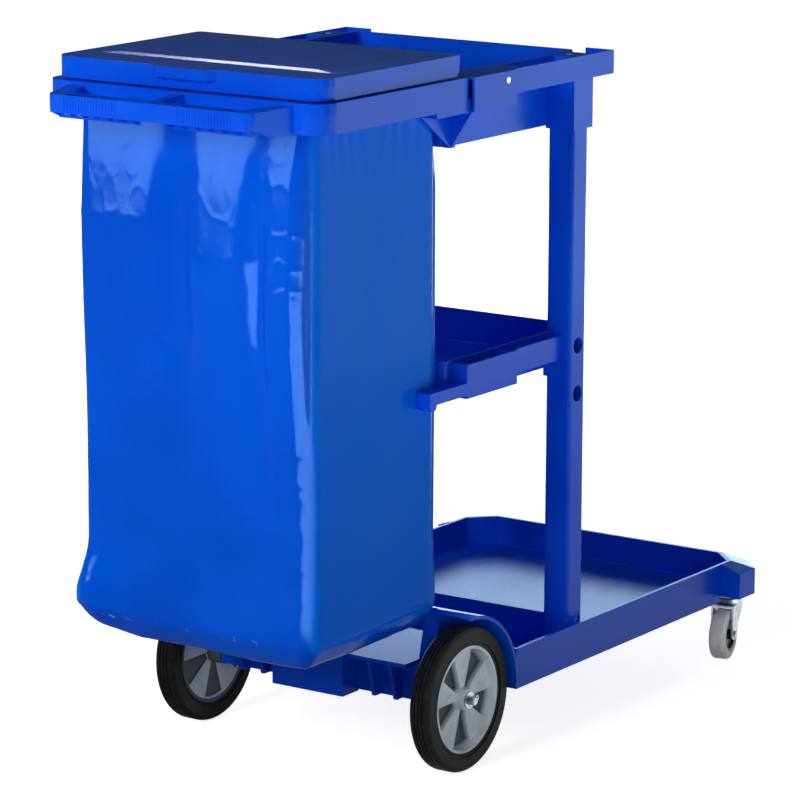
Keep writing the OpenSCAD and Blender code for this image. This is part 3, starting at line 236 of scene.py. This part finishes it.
# Grey caster tread with road dirt
tread = {"body": rgb(206, 205, 204), "dirt": rgb(178, 176, 175), "spots": (90.0, 5.0, 0.6),
         "spotSpan": (0.45, 0.75), "dirty": 0.6, "pores": (600.0, 3.0), "relief": 0.0001,
         "rough": 0.5, "dirtRough": 0.2}


def casterTread():
    g = Graph("casterTread")
    dirt = g.cloud(*tread["spots"]).ramp(*tread["spotSpan"])
    tone = g.mix(dirt * tread["dirty"], tread["body"], tread["dirt"])
    rough = tread["rough"] + tread["dirtRough"] * dirt
    return g.output(g.gloss(tone, rough, g.bump(g.cloud(*tread["pores"]), tread["relief"]), {}))


# Black moulded caster core and dark nylon washer
core = {"body": rgb(28, 28, 30), "haze": rgb(52, 53, 56), "patches": (60.0, 4.0, 0.6),
        "patchSpan": (0.4, 0.75), "pores": (800.0, 2.0), "relief": 0.00005, "rough": 0.4, "roughSpan": 0.14}
washer = dict(core, body=rgb(44, 44, 47), haze=rgb(62, 62, 66), rough=0.5)


def darkMoulding(name, look):
    g = Graph(name)
    patches = g.cloud(*look["patches"])
    tone = g.mix(patches.ramp(*look["patchSpan"]), look["body"], look["haze"])
    rough = look["rough"] + look["roughSpan"] * (patches - 0.5)
    return g.output(g.gloss(tone, rough, g.bump(g.cloud(*look["pores"]), look["relief"]), {}))


# Zinc plate: cloudy bright patches and fine drawing lines
zinc = {"bright": (0.58, 0.59, 0.61, 1.0), "dull": (0.38, 0.39, 0.41, 1.0), "patches": (110.0, 4.0, 0.6),
        "patchSpan": (0.4, 0.7), "patchRough": 0.2, "lines": (260.0, 2.0, 0.5),
        "lineStretch": (1.0, 1.0, 12.0), "lineRough": 0.06, "relief": 0.00002, "rough": 0.30}


def zincPlate():
    g = Graph("zincPlate")
    patches = g.cloud(*zinc["patches"])
    lines = g.cloud(*zinc["lines"], at=g.stretch(zinc["lineStretch"]))
    tone = g.mix(patches.ramp(*zinc["patchSpan"]), zinc["bright"], zinc["dull"])
    rough = zinc["rough"] + zinc["patchRough"] * (patches - zinc["patchSpan"][0]) + zinc["lineRough"] * lines
    return g.output(g.gloss(tone, rough, g.bump(lines, zinc["relief"]), {"Metallic": 1.0}))


# Dulled brass for the eyelets
brass = {"bright": (0.62, 0.44, 0.17, 1.0), "dull": (0.30, 0.20, 0.08, 1.0), "age": (180.0, 4.0, 0.6),
         "ageSpan": (0.4, 0.7), "ageRough": 0.25, "pores": (900.0, 2.0), "relief": 0.00002, "rough": 0.34}


def dullBrass():
    g = Graph("dullBrass")
    age = g.cloud(*brass["age"])
    tone = g.mix(age.ramp(*brass["ageSpan"]), brass["bright"], brass["dull"])
    rough = brass["rough"] + brass["ageRough"] * (age - brass["ageSpan"][0])
    relief = g.bump(g.cloud(*brass["pores"]), brass["relief"])
    return g.output(g.gloss(tone, rough, relief, {"Metallic": 1.0}))


# Coated vinyl: glossy crinkled film, rubbed white along the front's bottom fold; the side panels are a
# lighter, less shiny copy carrying painted light and painted fold streaks
vinyl = {"deep": rgb(1, 78, 205), "light": rgb(2, 88, 220), "drift": (4.0, 3.0), "driftSpan": (0.35, 0.65),
         # side is painted light, a lighter blue for the side panels; dull is the greyer tone of their
         # painted fold streaks
         "side": rgb(2, 110, 244), "dull": rgb(14, 114, 228), "paintedFoldStreaks": (22.0, 4.0, 0.6),
         "streakStretch": (1.0, 1.0, 0.3), "streakSpan": (0.36, 0.72), "paintedFoldAmount": 0.6,
         "front": (-0.484, -0.470), "panel": (0.1805, 0.1865),
         "fibre": (420.0, 3.0, 0.6), "fibreStretch": (1.0, 1.0, 0.25), "fibreHeight": 0.10,
         "crumple": (26.0, 5.0, 0.55), "crumpleHeight": 0.9, "relief": 0.0004,
         "crease": rgb(46, 122, 226), "creaseSpan": (0.975, 0.999), "creasePlaces": (31.0, 3.0),
         "creasePlaceSpan": (0.52, 0.66), "creased": 0.12, "creaseHeight": 0.2, "creaseRough": 0.12,
         "foldLow": (0.2275, 0.2300), "foldHigh": (0.2330, 0.2375), "scuff": rgb(150, 190, 250),
         "scuffs": (95.0, 4.0, 0.7), "scuffSpan": (0.56, 0.66), "scuffPlaces": (15.0, 2.0),
         "scuffPlaceSpan": (0.46, 0.58), "scuffed": 0.75,
         "rough": 0.13, "haze": (16.0, 4.0), "roughSpan": 0.07, "shine": 0.10,
         "glint": (0.40, 0.66, 1.0, 1.0), "sideShine": 0.025, "sideGlint": (0.1, 0.5, 1.0, 1.0)}


def coatedVinyl():
    g = Graph("coatedVinyl")
    x, y, z = g.axes()
    onFront = 1.0 - x.ramp(*vinyl["front"])
    crumple = g.cloud(*vinyl["crumple"])
    ridge = 1.0 - abs(crumple - 0.5) * 2.0
    places = g.cloud(*vinyl["creasePlaces"]).ramp(*vinyl["creasePlaceSpan"])
    marks = ridge.ramp(*vinyl["creaseSpan"]) * places * onFront
    fold = z.ramp(*vinyl["foldLow"]) * (1.0 - z.ramp(*vinyl["foldHigh"]))
    rubbed = g.cloud(*vinyl["scuffPlaces"]).ramp(*vinyl["scuffPlaceSpan"])
    scuff = fold * onFront * g.cloud(*vinyl["scuffs"]).ramp(*vinyl["scuffSpan"]) * rubbed
    tone = g.mix(g.cloud(*vinyl["drift"]).ramp(*vinyl["driftSpan"]), vinyl["deep"], vinyl["light"])
    tone = g.mix(marks * vinyl["creased"], tone, vinyl["crease"])
    tone = g.mix(scuff * vinyl["scuffed"], tone, vinyl["scuff"])
    # painted light and shade: the side panels get a lighter blue, with greyer upright streaks standing in
    # for light on soft folds
    paintedFoldStreaks = g.cloud(*vinyl["paintedFoldStreaks"], at=g.stretch(vinyl["streakStretch"])).ramp(*vinyl["streakSpan"])
    sideLitTone = g.mix(paintedFoldStreaks * vinyl["paintedFoldAmount"], vinyl["side"], vinyl["dull"])
    haze = g.cloud(*vinyl["haze"]) - 0.5
    rough = vinyl["rough"] + vinyl["roughSpan"] * haze + vinyl["creaseRough"] * marks
    fibre = g.cloud(*vinyl["fibre"], at=g.stretch(vinyl["fibreStretch"]))
    height = fibre * vinyl["fibreHeight"] + crumple * vinyl["crumpleHeight"] + marks * vinyl["creaseHeight"]
    relief = g.bump(height, vinyl["relief"])
    front = g.gloss(tone, rough, relief,
                    {"Specular IOR Level": vinyl["shine"], "Specular Tint": vinyl["glint"]})
    side = g.gloss(sideLitTone, rough, relief,
                   {"Specular IOR Level": vinyl["sideShine"], "Specular Tint": vinyl["sideGlint"]})
    # the side panels take the lighter copy with the painted light
    return g.output(g.blended(abs(y).ramp(*vinyl["panel"]), front, side))


looks = {"plastic_blue": bluePlastic("bluePlastic", plastic), "tyre_black": tyreRubber(),
         "hub_grey": hubPlastic(), "caster_grey": casterTread(),
         "caster_black": darkMoulding("casterCore", core), "nylon": darkMoulding("nylonWasher", washer),
         "zinc": zincPlate(), "brass": dullBrass(), "vinyl_bag": coatedVinyl()}

for part in frame["record"]["subparts"]:
    shown = nodes[part["node"]]
    shown.data.materials.clear()
    shown.data.materials.append(looks[part["material_slot"]])
nodes["lid"].data.materials[0] = bluePlastic("lidPlastic", lidPlastic)
print("materials on all nodes")

# Small edge rounds on the frame's own pieces
edges = {"weld": 0.00002, "segments": 2, "angle": math.radians(40),
         "width": {"base_platform": 0.0014, "left_post": 0.0010, "right_post": 0.0010, "mid_shelf": 0.0010,
                   "top_tray": 0.0012, "bag_frame": 0.0012, "lid": 0.0014, "left_rear_hub": 0.0008,
                   "right_rear_hub": 0.0008, "left_caster_fork": 0.0005, "right_caster_fork": 0.0005}}

for name, width in edges["width"].items():
    weld = nodes[name].modifiers.new("weld", "WELD")
    weld.merge_threshold = edges["weld"]
    bevel = nodes[name].modifiers.new("edgeRound", "BEVEL")
    bevel.width = width
    bevel.segments = edges["segments"]
    bevel.limit_method = "ANGLE"
    bevel.angle_limit = edges["angle"]
    bevel.harden_normals = True
    bevel.use_clamp_overlap = True
print("edges rounded")

# Hanging bag: rings of a rounded box, pushed in and out by folds, closed by a folded bottom.
# Bottom rows are inset and height; lobes are middle, half width, foot and depth;
# waves are depth, scale, upright stretch and seed; spans of heights run from none to full
bag = {"x": (-0.4888, -0.1942), "y": 0.1883, "corner": 0.0203, "nearCorner": 0.027, "nearDrop": 0.08,
       "leastRound": 0.002, "arcSteps": 24, "around": 480, "step": 0.0032, "thick": 0.0012,
       "top": 0.952, "lip": 0.917, "belly": 0.246,
       "bottom": ((0.0, 0.246), (0.0002, 0.239), (0.0008, 0.2345), (0.0020, 0.2312), (0.0045, 0.2275),
                  (0.0085, 0.2215), (0.0125, 0.2150), (0.0170, 0.2085), (0.0225, 0.2030), (0.032, 0.1990),
                  (0.048, 0.1972), (0.072, 0.1965), (0.098, 0.1966), (0.125, 0.1968)),
       "bottomFade": (0.0, 0.05), "bottomWave": (0.004, 12.0, 1.0, 9.0),
       "foldAt": 0.228, "foldSpread": 0.006, "foldWave": (0.0035, 30.0, 1.0, 2.0),
       "lift": 0.013, "liftX": (-0.40, -0.48), "liftY": (0.10, 0.19), "liftZ": (0.30, 0.215),
       "freeRest": 0.1900, "deckRest": 0.2045, "deckEdge": (-0.315, -0.262),
       "lobes": ((0.112, 0.076, 0.785, 0.0165), (-0.055, 0.056, 0.745, 0.0205),
                 (-0.152, 0.030, 0.70, 0.0200)),
       "lobeEdge": 5, "lobeTop": 0.915, "lobeEnd": 0.40,
       "hemDrop": 0.10, "lowZ": (0.34, 0.25), "lowOut": 0.003,
       "backOut": 0.0095, "backZ": (0.905, 0.79),
       "frontOut": 0.004, "frontIn": 0.003, "frontInZ": (0.72, 0.50),
       "farOut": 0.0185, "farX": (-0.43, -0.478), "farY": (0.12, 0.185),
       "folds": ((0.0036, 9.0, 0.30, 3.1), (0.0020, 24.0, 0.22, 7.7)), "foldAll": 0.30, "foldFront": 0.60,
       "pleat": 0.0004, "pleatPitch": 210, "pleatWave": (6.0, 19.0, 0.3, 1.3), "pleatFall": 0.035,
       "pleatTop": (0.01, -0.012),
       "crease": 0.0014, "creaseY": -0.122, "creaseSpread": 0.0032, "creaseWave": (0.006, 8.0, 1.0, 5.0),
       "creaseTop": (0.82, 0.74), "creaseFoot": (0.27, 0.34),
       "ridge": 0.0009, "ridgeWave": (4.0, 34.0, 0.8, 11.0), "ridgeEdge": 3, "ridgeY": (-0.05, -0.15),
       "ridgeAll": 0.5,
       "sideRoom": 0.0017, "lowRoom": 0.012, "frontRoom": 0.07,
       "pegHole": 0.0064, "pegsX": (-0.4135, -0.2695), "pegsY": (-0.1147, 0.0, 0.1147)}


def smooth(low, high, v):
    t = np.clip((v - low) / (high - low), 0, 1)
    return t * t * (3 - 2 * t)


def ringOf(inset, loose):
    # points and outward normals of the rounded box, evenly spaced from the middle of the back
    x0, x1 = bag["x"][0] + inset, bag["x"][1] - inset
    y = bag["y"] - inset
    r = max(bag["corner"] - inset, bag["leastRound"])
    n = max(bag["corner"] + loose * (bag["nearCorner"] - bag["corner"]) - inset, bag["leastRound"])
    corners = [(x1 - r, y - r, r, 0), (x0 + r, y - r, r, 90),
               (x0 + n, n - y, n, 180), (x1 - r, r - y, r, 270)]
    points = [(x1, 0)]
    normals = [(1, 0)]
    for cx, cy, radius, start in corners:
        for i in range(bag["arcSteps"] + 1):
            a = math.radians(start + 90 * i / bag["arcSteps"])
            points.append((cx + radius * math.cos(a), cy + radius * math.sin(a)))
            normals.append((math.cos(a), math.sin(a)))
    points = np.array(points + points[:1])
    normals = np.array(normals + normals[:1])
    run = np.concatenate([[0], np.cumsum(np.linalg.norm(np.diff(points, axis=0), axis=1))])
    at = np.linspace(0, run[-1], bag["around"], endpoint=False)
    spot = np.stack([np.interp(at, run, points[:, i]) for i in range(2)], 1)
    lean = np.stack([np.interp(at, run, normals[:, i]) for i in range(2)], 1)
    return spot, lean / np.linalg.norm(lean, axis=1)[:, None]


def wave(x, y, z, depth, scale, stretch, seed):
    flat = np.stack([x.ravel() * scale, y.ravel() * scale, z.ravel() * scale * stretch + seed], 1)
    return depth * np.array([noise.noise(Vector(p)) for p in flat]).reshape(x.shape)


def pushOf(x, y, z, nx, ny):
    # outward push of the film at each point, in metres
    front = np.clip(-nx, 0, 1) ** 2
    side = ny ** 2
    back = np.clip(nx, 0, 1) ** 2
    free = smooth(bag["lip"], bag["lip"] - bag["hemDrop"], z)   # the hem is held by the hoop
    low = smooth(*bag["lowZ"], z)
    across = np.clip(1 - (y / bag["y"]) ** 2, 0, 1)
    push = back * bag["backOut"] * smooth(*bag["backZ"], z)
    for middle, width, foot, depth in bag["lobes"]:   # the film leans out under the frame, down to each foot
        lobe = np.exp(-np.abs((y - middle) / width) ** bag["lobeEdge"])
        slope = np.clip((bag["lobeTop"] - z) / (bag["lobeTop"] - foot), 0, 1)
        push += front * depth * lobe * slope * (1 - smooth(foot, bag["lobeEnd"], z))
    push += front * across * (bag["frontOut"] * low - bag["frontIn"] * smooth(*bag["frontInZ"], z))
    # the far front corner stands out at the foot
    farFront = smooth(*bag["farY"], y) * smooth(*bag["farX"], x)
    push += bag["farOut"] * farFront * low
    push += bag["lowOut"] * low * (1 - farFront)
    folds = sum(wave(x, y, z, *fold) for fold in bag["folds"])
    push += folds * free * (bag["foldAll"] + bag["foldFront"] * front)
    pleats = np.sin(x * bag["pleatPitch"] + wave(x, y, z, *bag["pleatWave"]))
    pleats *= np.exp(-np.clip(bag["lip"] - z, 0, 1) / bag["pleatFall"])
    push += bag["pleat"] * side * pleats * smooth(*[bag["lip"] + drop for drop in bag["pleatTop"]], z)
    creaseAt = (y - bag["creaseY"] + wave(x, y, z, *bag["creaseWave"])) / bag["creaseSpread"]
    crease = np.exp(-creaseAt ** 2) * smooth(*bag["creaseTop"], z) * smooth(*bag["creaseFoot"], z)
    push -= bag["crease"] * front * crease
    ridge = np.clip(1 - np.abs(wave(x, y, z, *bag["ridgeWave"])), 0, 1) ** bag["ridgeEdge"]
    nearSide = bag["ridgeAll"] + (1 - bag["ridgeAll"]) * smooth(*bag["ridgeY"], y)
    push += bag["ridge"] * ridge * free * front * nearSide
    # the sides stay clear of the bars and ledges
    room = np.where(side > 0.5, bag["sideRoom"] + bag["lowRoom"] * low, bag["frontRoom"])
    return np.where(push > 0, room * np.tanh(push / room), push)


def pegSpots():
    low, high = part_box("bag_eyelets")
    height = (low.z + high.z) / 2
    spots = [(x, y, height) for x in (low.x, high.x) for y in bag["pegsY"]]
    spots += [(x, side * high.y, height) for x in bag["pegsX"] for side in (-1, 1)]
    return [np.array(spot) for spot in spots]


def buildBag():
    heights = np.arange(bag["top"], bag["belly"], -bag["step"])
    rows = [(0.0, h) for h in heights] + list(bag["bottom"])
    rings = []
    for inset, h in rows:
        spot, lean = ringOf(inset, smooth(bag["lip"], bag["lip"] - bag["nearDrop"], h))
        rings.append(np.column_stack([spot, np.full(len(spot), h), lean]))
    grid = np.array(rings)
    x, y, z, nx, ny = [grid[:, :, i] for i in range(5)]
    insets, levels = np.array(rows).T[:, :, None]
    fade = 1 - smooth(*bag["bottomFade"], insets)
    push = pushOf(x, y, np.maximum(z, bag["belly"]), nx, ny) * fade
    onFold = np.exp(-((levels - bag["foldAt"]) / bag["foldSpread"]) ** 2)
    z = z + onFold * wave(x, y, z, *bag["foldWave"]) + (1 - fade) * wave(x, y, z, *bag["bottomWave"])
    lifted = smooth(*bag["liftY"], y) * smooth(*bag["liftX"], x)   # the far front corner hangs higher
    z = z + bag["lift"] * lifted * smooth(*bag["liftZ"], z)
    onDeck = smooth(*bag["deckEdge"], x)   # the deck carries the back of the bottom
    rest = bag["freeRest"] + (bag["deckRest"] - bag["freeRest"]) * onDeck
    verts = np.stack([x + nx * push, y + ny * push, np.maximum(z, rest)], 2).reshape(-1, 3)
    count, last = bag["around"], len(rows) - 1
    pegs = pegSpots()
    faces = []
    for r in range(last):
        for c in range(count):
            after = (c + 1) % count
            quad = [(r + 1) * count + c, (r + 1) * count + after, r * count + after, r * count + c]
            if rows[r][1] > bag["lip"]:   # the hem is open round the pegs
                middle = verts[quad].mean(0)
                if min(np.linalg.norm(middle - peg) for peg in pegs) < bag["pegHole"]:
                    continue
            faces.append(quad)
    faces.append([last * count + c for c in range(count)])
    mesh = bpy.data.meshes.new("bag_sheet")
    mesh.from_pydata([tuple(v) for v in verts], [], faces)
    mesh.update()
    mesh.polygons.foreach_set("use_smooth", [True] * len(mesh.polygons))
    mesh.materials.append(looks["vinyl_bag"])
    made = bpy.data.objects.new("bag_sheet", mesh)
    bpy.context.scene.collection.objects.link(made)
    thick = made.modifiers.new("thickness", "SOLIDIFY")
    thick.thickness = bag["thick"]
    thick.offset = -1.0
    return made


bagSheet = buildBag()
print("bag built:", len(bagSheet.data.vertices), "points")
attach(bagSheet, "chassis")
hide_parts("bag")

# Lamps: soft lights for the body colours, and cards that only show as reflections
lamps = {
    "keyFront": {"shows": "diffuse", "at": (-4.1, 0.35, 2.2), "aim": (-0.3, 0.0, 0.6),
                 "size": (1.2, 1.5), "glow": 15.9},
    "fillSide": {"shows": "diffuse", "at": (-2.7, -3.15, 1.3), "aim": (-0.1, 0.0, 0.5),
                 "size": (1.6, 2.0), "glow": 1.0},
    "topSoft": {"shows": "diffuse", "at": (0.0, 0.0, 4.5), "aim": (0.0, 0.0, 0.0),
                "size": (3.0, 3.0), "glow": 0.2},
    "fillWheels": {"shows": "diffuse", "at": (-2.7, -3.15, 1.3), "aim": (-0.1, 0.0, 0.1),
                   "size": (1.6, 2.0), "glow": 6.0,
                   "only": ("left_rear_hub", "right_rear_hub", "left_rear_tyre", "right_rear_tyre",
                            "left_caster_tyre", "right_caster_tyre")},
    "fillBack": {"shows": "diffuse", "at": (3.8, 2.4, 1.5), "aim": (0.0, 0.0, 0.5),
                 "size": (3.0, 2.6), "glow": 1.9},
    "cardPatch": {"shows": "glossy", "at": (-3.6, 2.4, 1.82), "aim": (-0.45, 0.0, 1.27),
                  "size": (1.9, 1.9), "glow": 25.0, "tint": (0.46, 0.74, 0.86), "only": ("bag",)},
    "cardCorner": {"shows": "glossy", "at": (-1.04, -0.87, 0.315), "aim": (-0.487, -0.165, 0.315),
                   "size": (1.6, 0.62), "glow": 28.0, "tint": (0.60, 0.90, 1.0), "only": ("bag",)},
    "cardEdge": {"shows": "glossy", "at": (-0.95, 1.65, 3.3), "aim": (-0.45, 0.0, 0.95),
                 "size": (1.2, 1.2), "glow": 90.0, "tint": (0.9, 0.95, 1.0)},
    "cardSide": {"shows": "glossy", "at": (2.0, -1.6, 0.75), "aim": (2.0, 0.0, 0.75),
                 "size": (4.6, 1.4), "glow": 2.3, "tint": (0.62, 0.95, 1.0)},
    "cardBackLow": {"shows": "glossy", "at": (1.18, 0.66, 0.28), "aim": (0.35, 0.09, 0.28),
                    "size": (2.6, 0.62), "glow": 4.3, "tint": (0.52, 0.76, 1.0)},
    "cardTop": {"shows": "glossy", "at": (2.6, 2.4, 3.0), "aim": (2.6, 2.4, 0.0),
                "size": (2.6, 2.3), "glow": 13.0, "tint": (0.85, 0.92, 1.0), "only": ("lid",)},
}


def softbox(name, look):
    data = bpy.data.lights.new(name, "AREA")
    data.shape = "RECTANGLE"
    data.size, data.size_y = look["size"]
    data.energy = look["glow"] * math.pi * look["size"][0] * look["size"][1]
    data.color = look.get("tint", white[:3])
    made = bpy.data.objects.new(name, data)
    made.location = look["at"]
    made.rotation_euler = (Vector(look["aim"]) - Vector(look["at"])).to_track_quat("-Z", "Y").to_euler()
    made.visible_camera = False
    made.visible_diffuse = look["shows"] == "diffuse"
    made.visible_glossy = look["shows"] == "glossy"
    if "only" in look:
        lit = bpy.data.collections.new(name + "Lit")
        for piece in look["only"]:
            lit.objects.link(bagSheet if piece == "bag" else nodes[piece])
        made.light_linking.receiver_collection = lit
    bpy.context.scene.collection.objects.link(made)


# Floor and air: white to the camera; to the cart the floor is dull, with a soft glow for bounced light
studio = {"reach": 30.0, "floor": (0.92, 0.92, 0.92, 1.0), "near": (0.86, 0.86, 0.86, 1.0),
          "nearSpan": (1.0, 9.0), "sweep": (0.8, -0.55), "sweepSpan": (-0.3, 0.5), "dark": 0.10,
          "bounce": (0.20, 0.21, 0.23, 1.0), "lift": (0.82, 0.84, 0.88, 1.0),
          "shade": (0.66, 0.36), "shadeSpan": (0.8, 5.0), "air": (0.03, 0.048, 0.052, 1.0)}


def buildFloor():
    mesh = bpy.data.meshes.new("floor")
    r = studio["reach"]
    mesh.from_pydata([(-r, -r, 0), (r, -r, 0), (r, r, 0), (-r, r, 0)], [], [(0, 1, 2, 3)])
    floor = bpy.data.objects.new("floor", mesh)
    bpy.context.scene.collection.objects.link(floor)
    g = Graph("paleFloor")
    x, y = g.axes()[:2]
    kinds = ("Camera", "Glossy", "Transmission", "Diffuse")
    camera, glossy, through, diffuse = [g.node("ShaderNodeLightPath", out="Is " + k + " Ray") for k in kinds]
    # in reflections the floor is bright on the platform's side and dark in front of the bag
    sweep = (x * studio["sweep"][0] + y * studio["sweep"][1]).ramp(*studio["sweepSpan"])
    seen = (camera + through + glossy * (studio["dark"] + sweep)).clip()
    far = (x * x + y * y).ramp(*studio["nearSpan"])
    pale = g.added(g.matt(studio["floor"]), g.glow(g.mix(far, studio["near"], white)))
    # the cart shades the floor under it
    clear = ((x / studio["shade"][0]) ** 2.0 + (y / studio["shade"][1]) ** 2.0).ramp(*studio["shadeSpan"])
    dull = g.added(g.matt(studio["bounce"]), g.glow(g.mix(clear * diffuse, black, studio["lift"])))
    material = g.output(g.blended(seen, dull, pale))
    material.cycles.emission_sampling = "NONE"
    mesh.materials.append(material)


def buildAir():
    g = Graph("studioAir", bpy.data.worlds)
    camera = g.node("ShaderNodeLightPath", out="Is Camera Ray")
    tone = g.mix(camera, studio["air"], white)
    air = g.node("ShaderNodeBackground", None, {"Color": tone, "Strength": 1.0})
    bpy.context.scene.world = g.output(air, "ShaderNodeOutputWorld")


# Camera as fitted to the photo
view = {"at": (-4.57514, -3.10803, 1.65574), "target": (-0.07661, -0.04877, 0.48114), "roll": 0.2235,
        "lens": 179.62, "sensor": 36.0}


def buildCamera():
    data = bpy.data.cameras.new("camera")
    data.lens = view["lens"]
    data.sensor_width = view["sensor"]
    made = bpy.data.objects.new("camera", data)
    spot = Vector(view["at"])
    turn = (Vector(view["target"]) - spot).to_track_quat("-Z", "Y").to_matrix().to_4x4()
    roll = Matrix.Rotation(math.radians(view["roll"]), 4, "Z")
    made.matrix_world = Matrix.Translation(spot) @ turn @ roll
    bpy.context.scene.collection.objects.link(made)
    bpy.context.scene.camera = made


for name, look in lamps.items():
    softbox(name, look)
buildFloor()
buildAir()
buildCamera()
bpy.context.scene.view_settings.view_transform = "Standard"
print("studio and camera set")

bpy.context.view_layer.update()
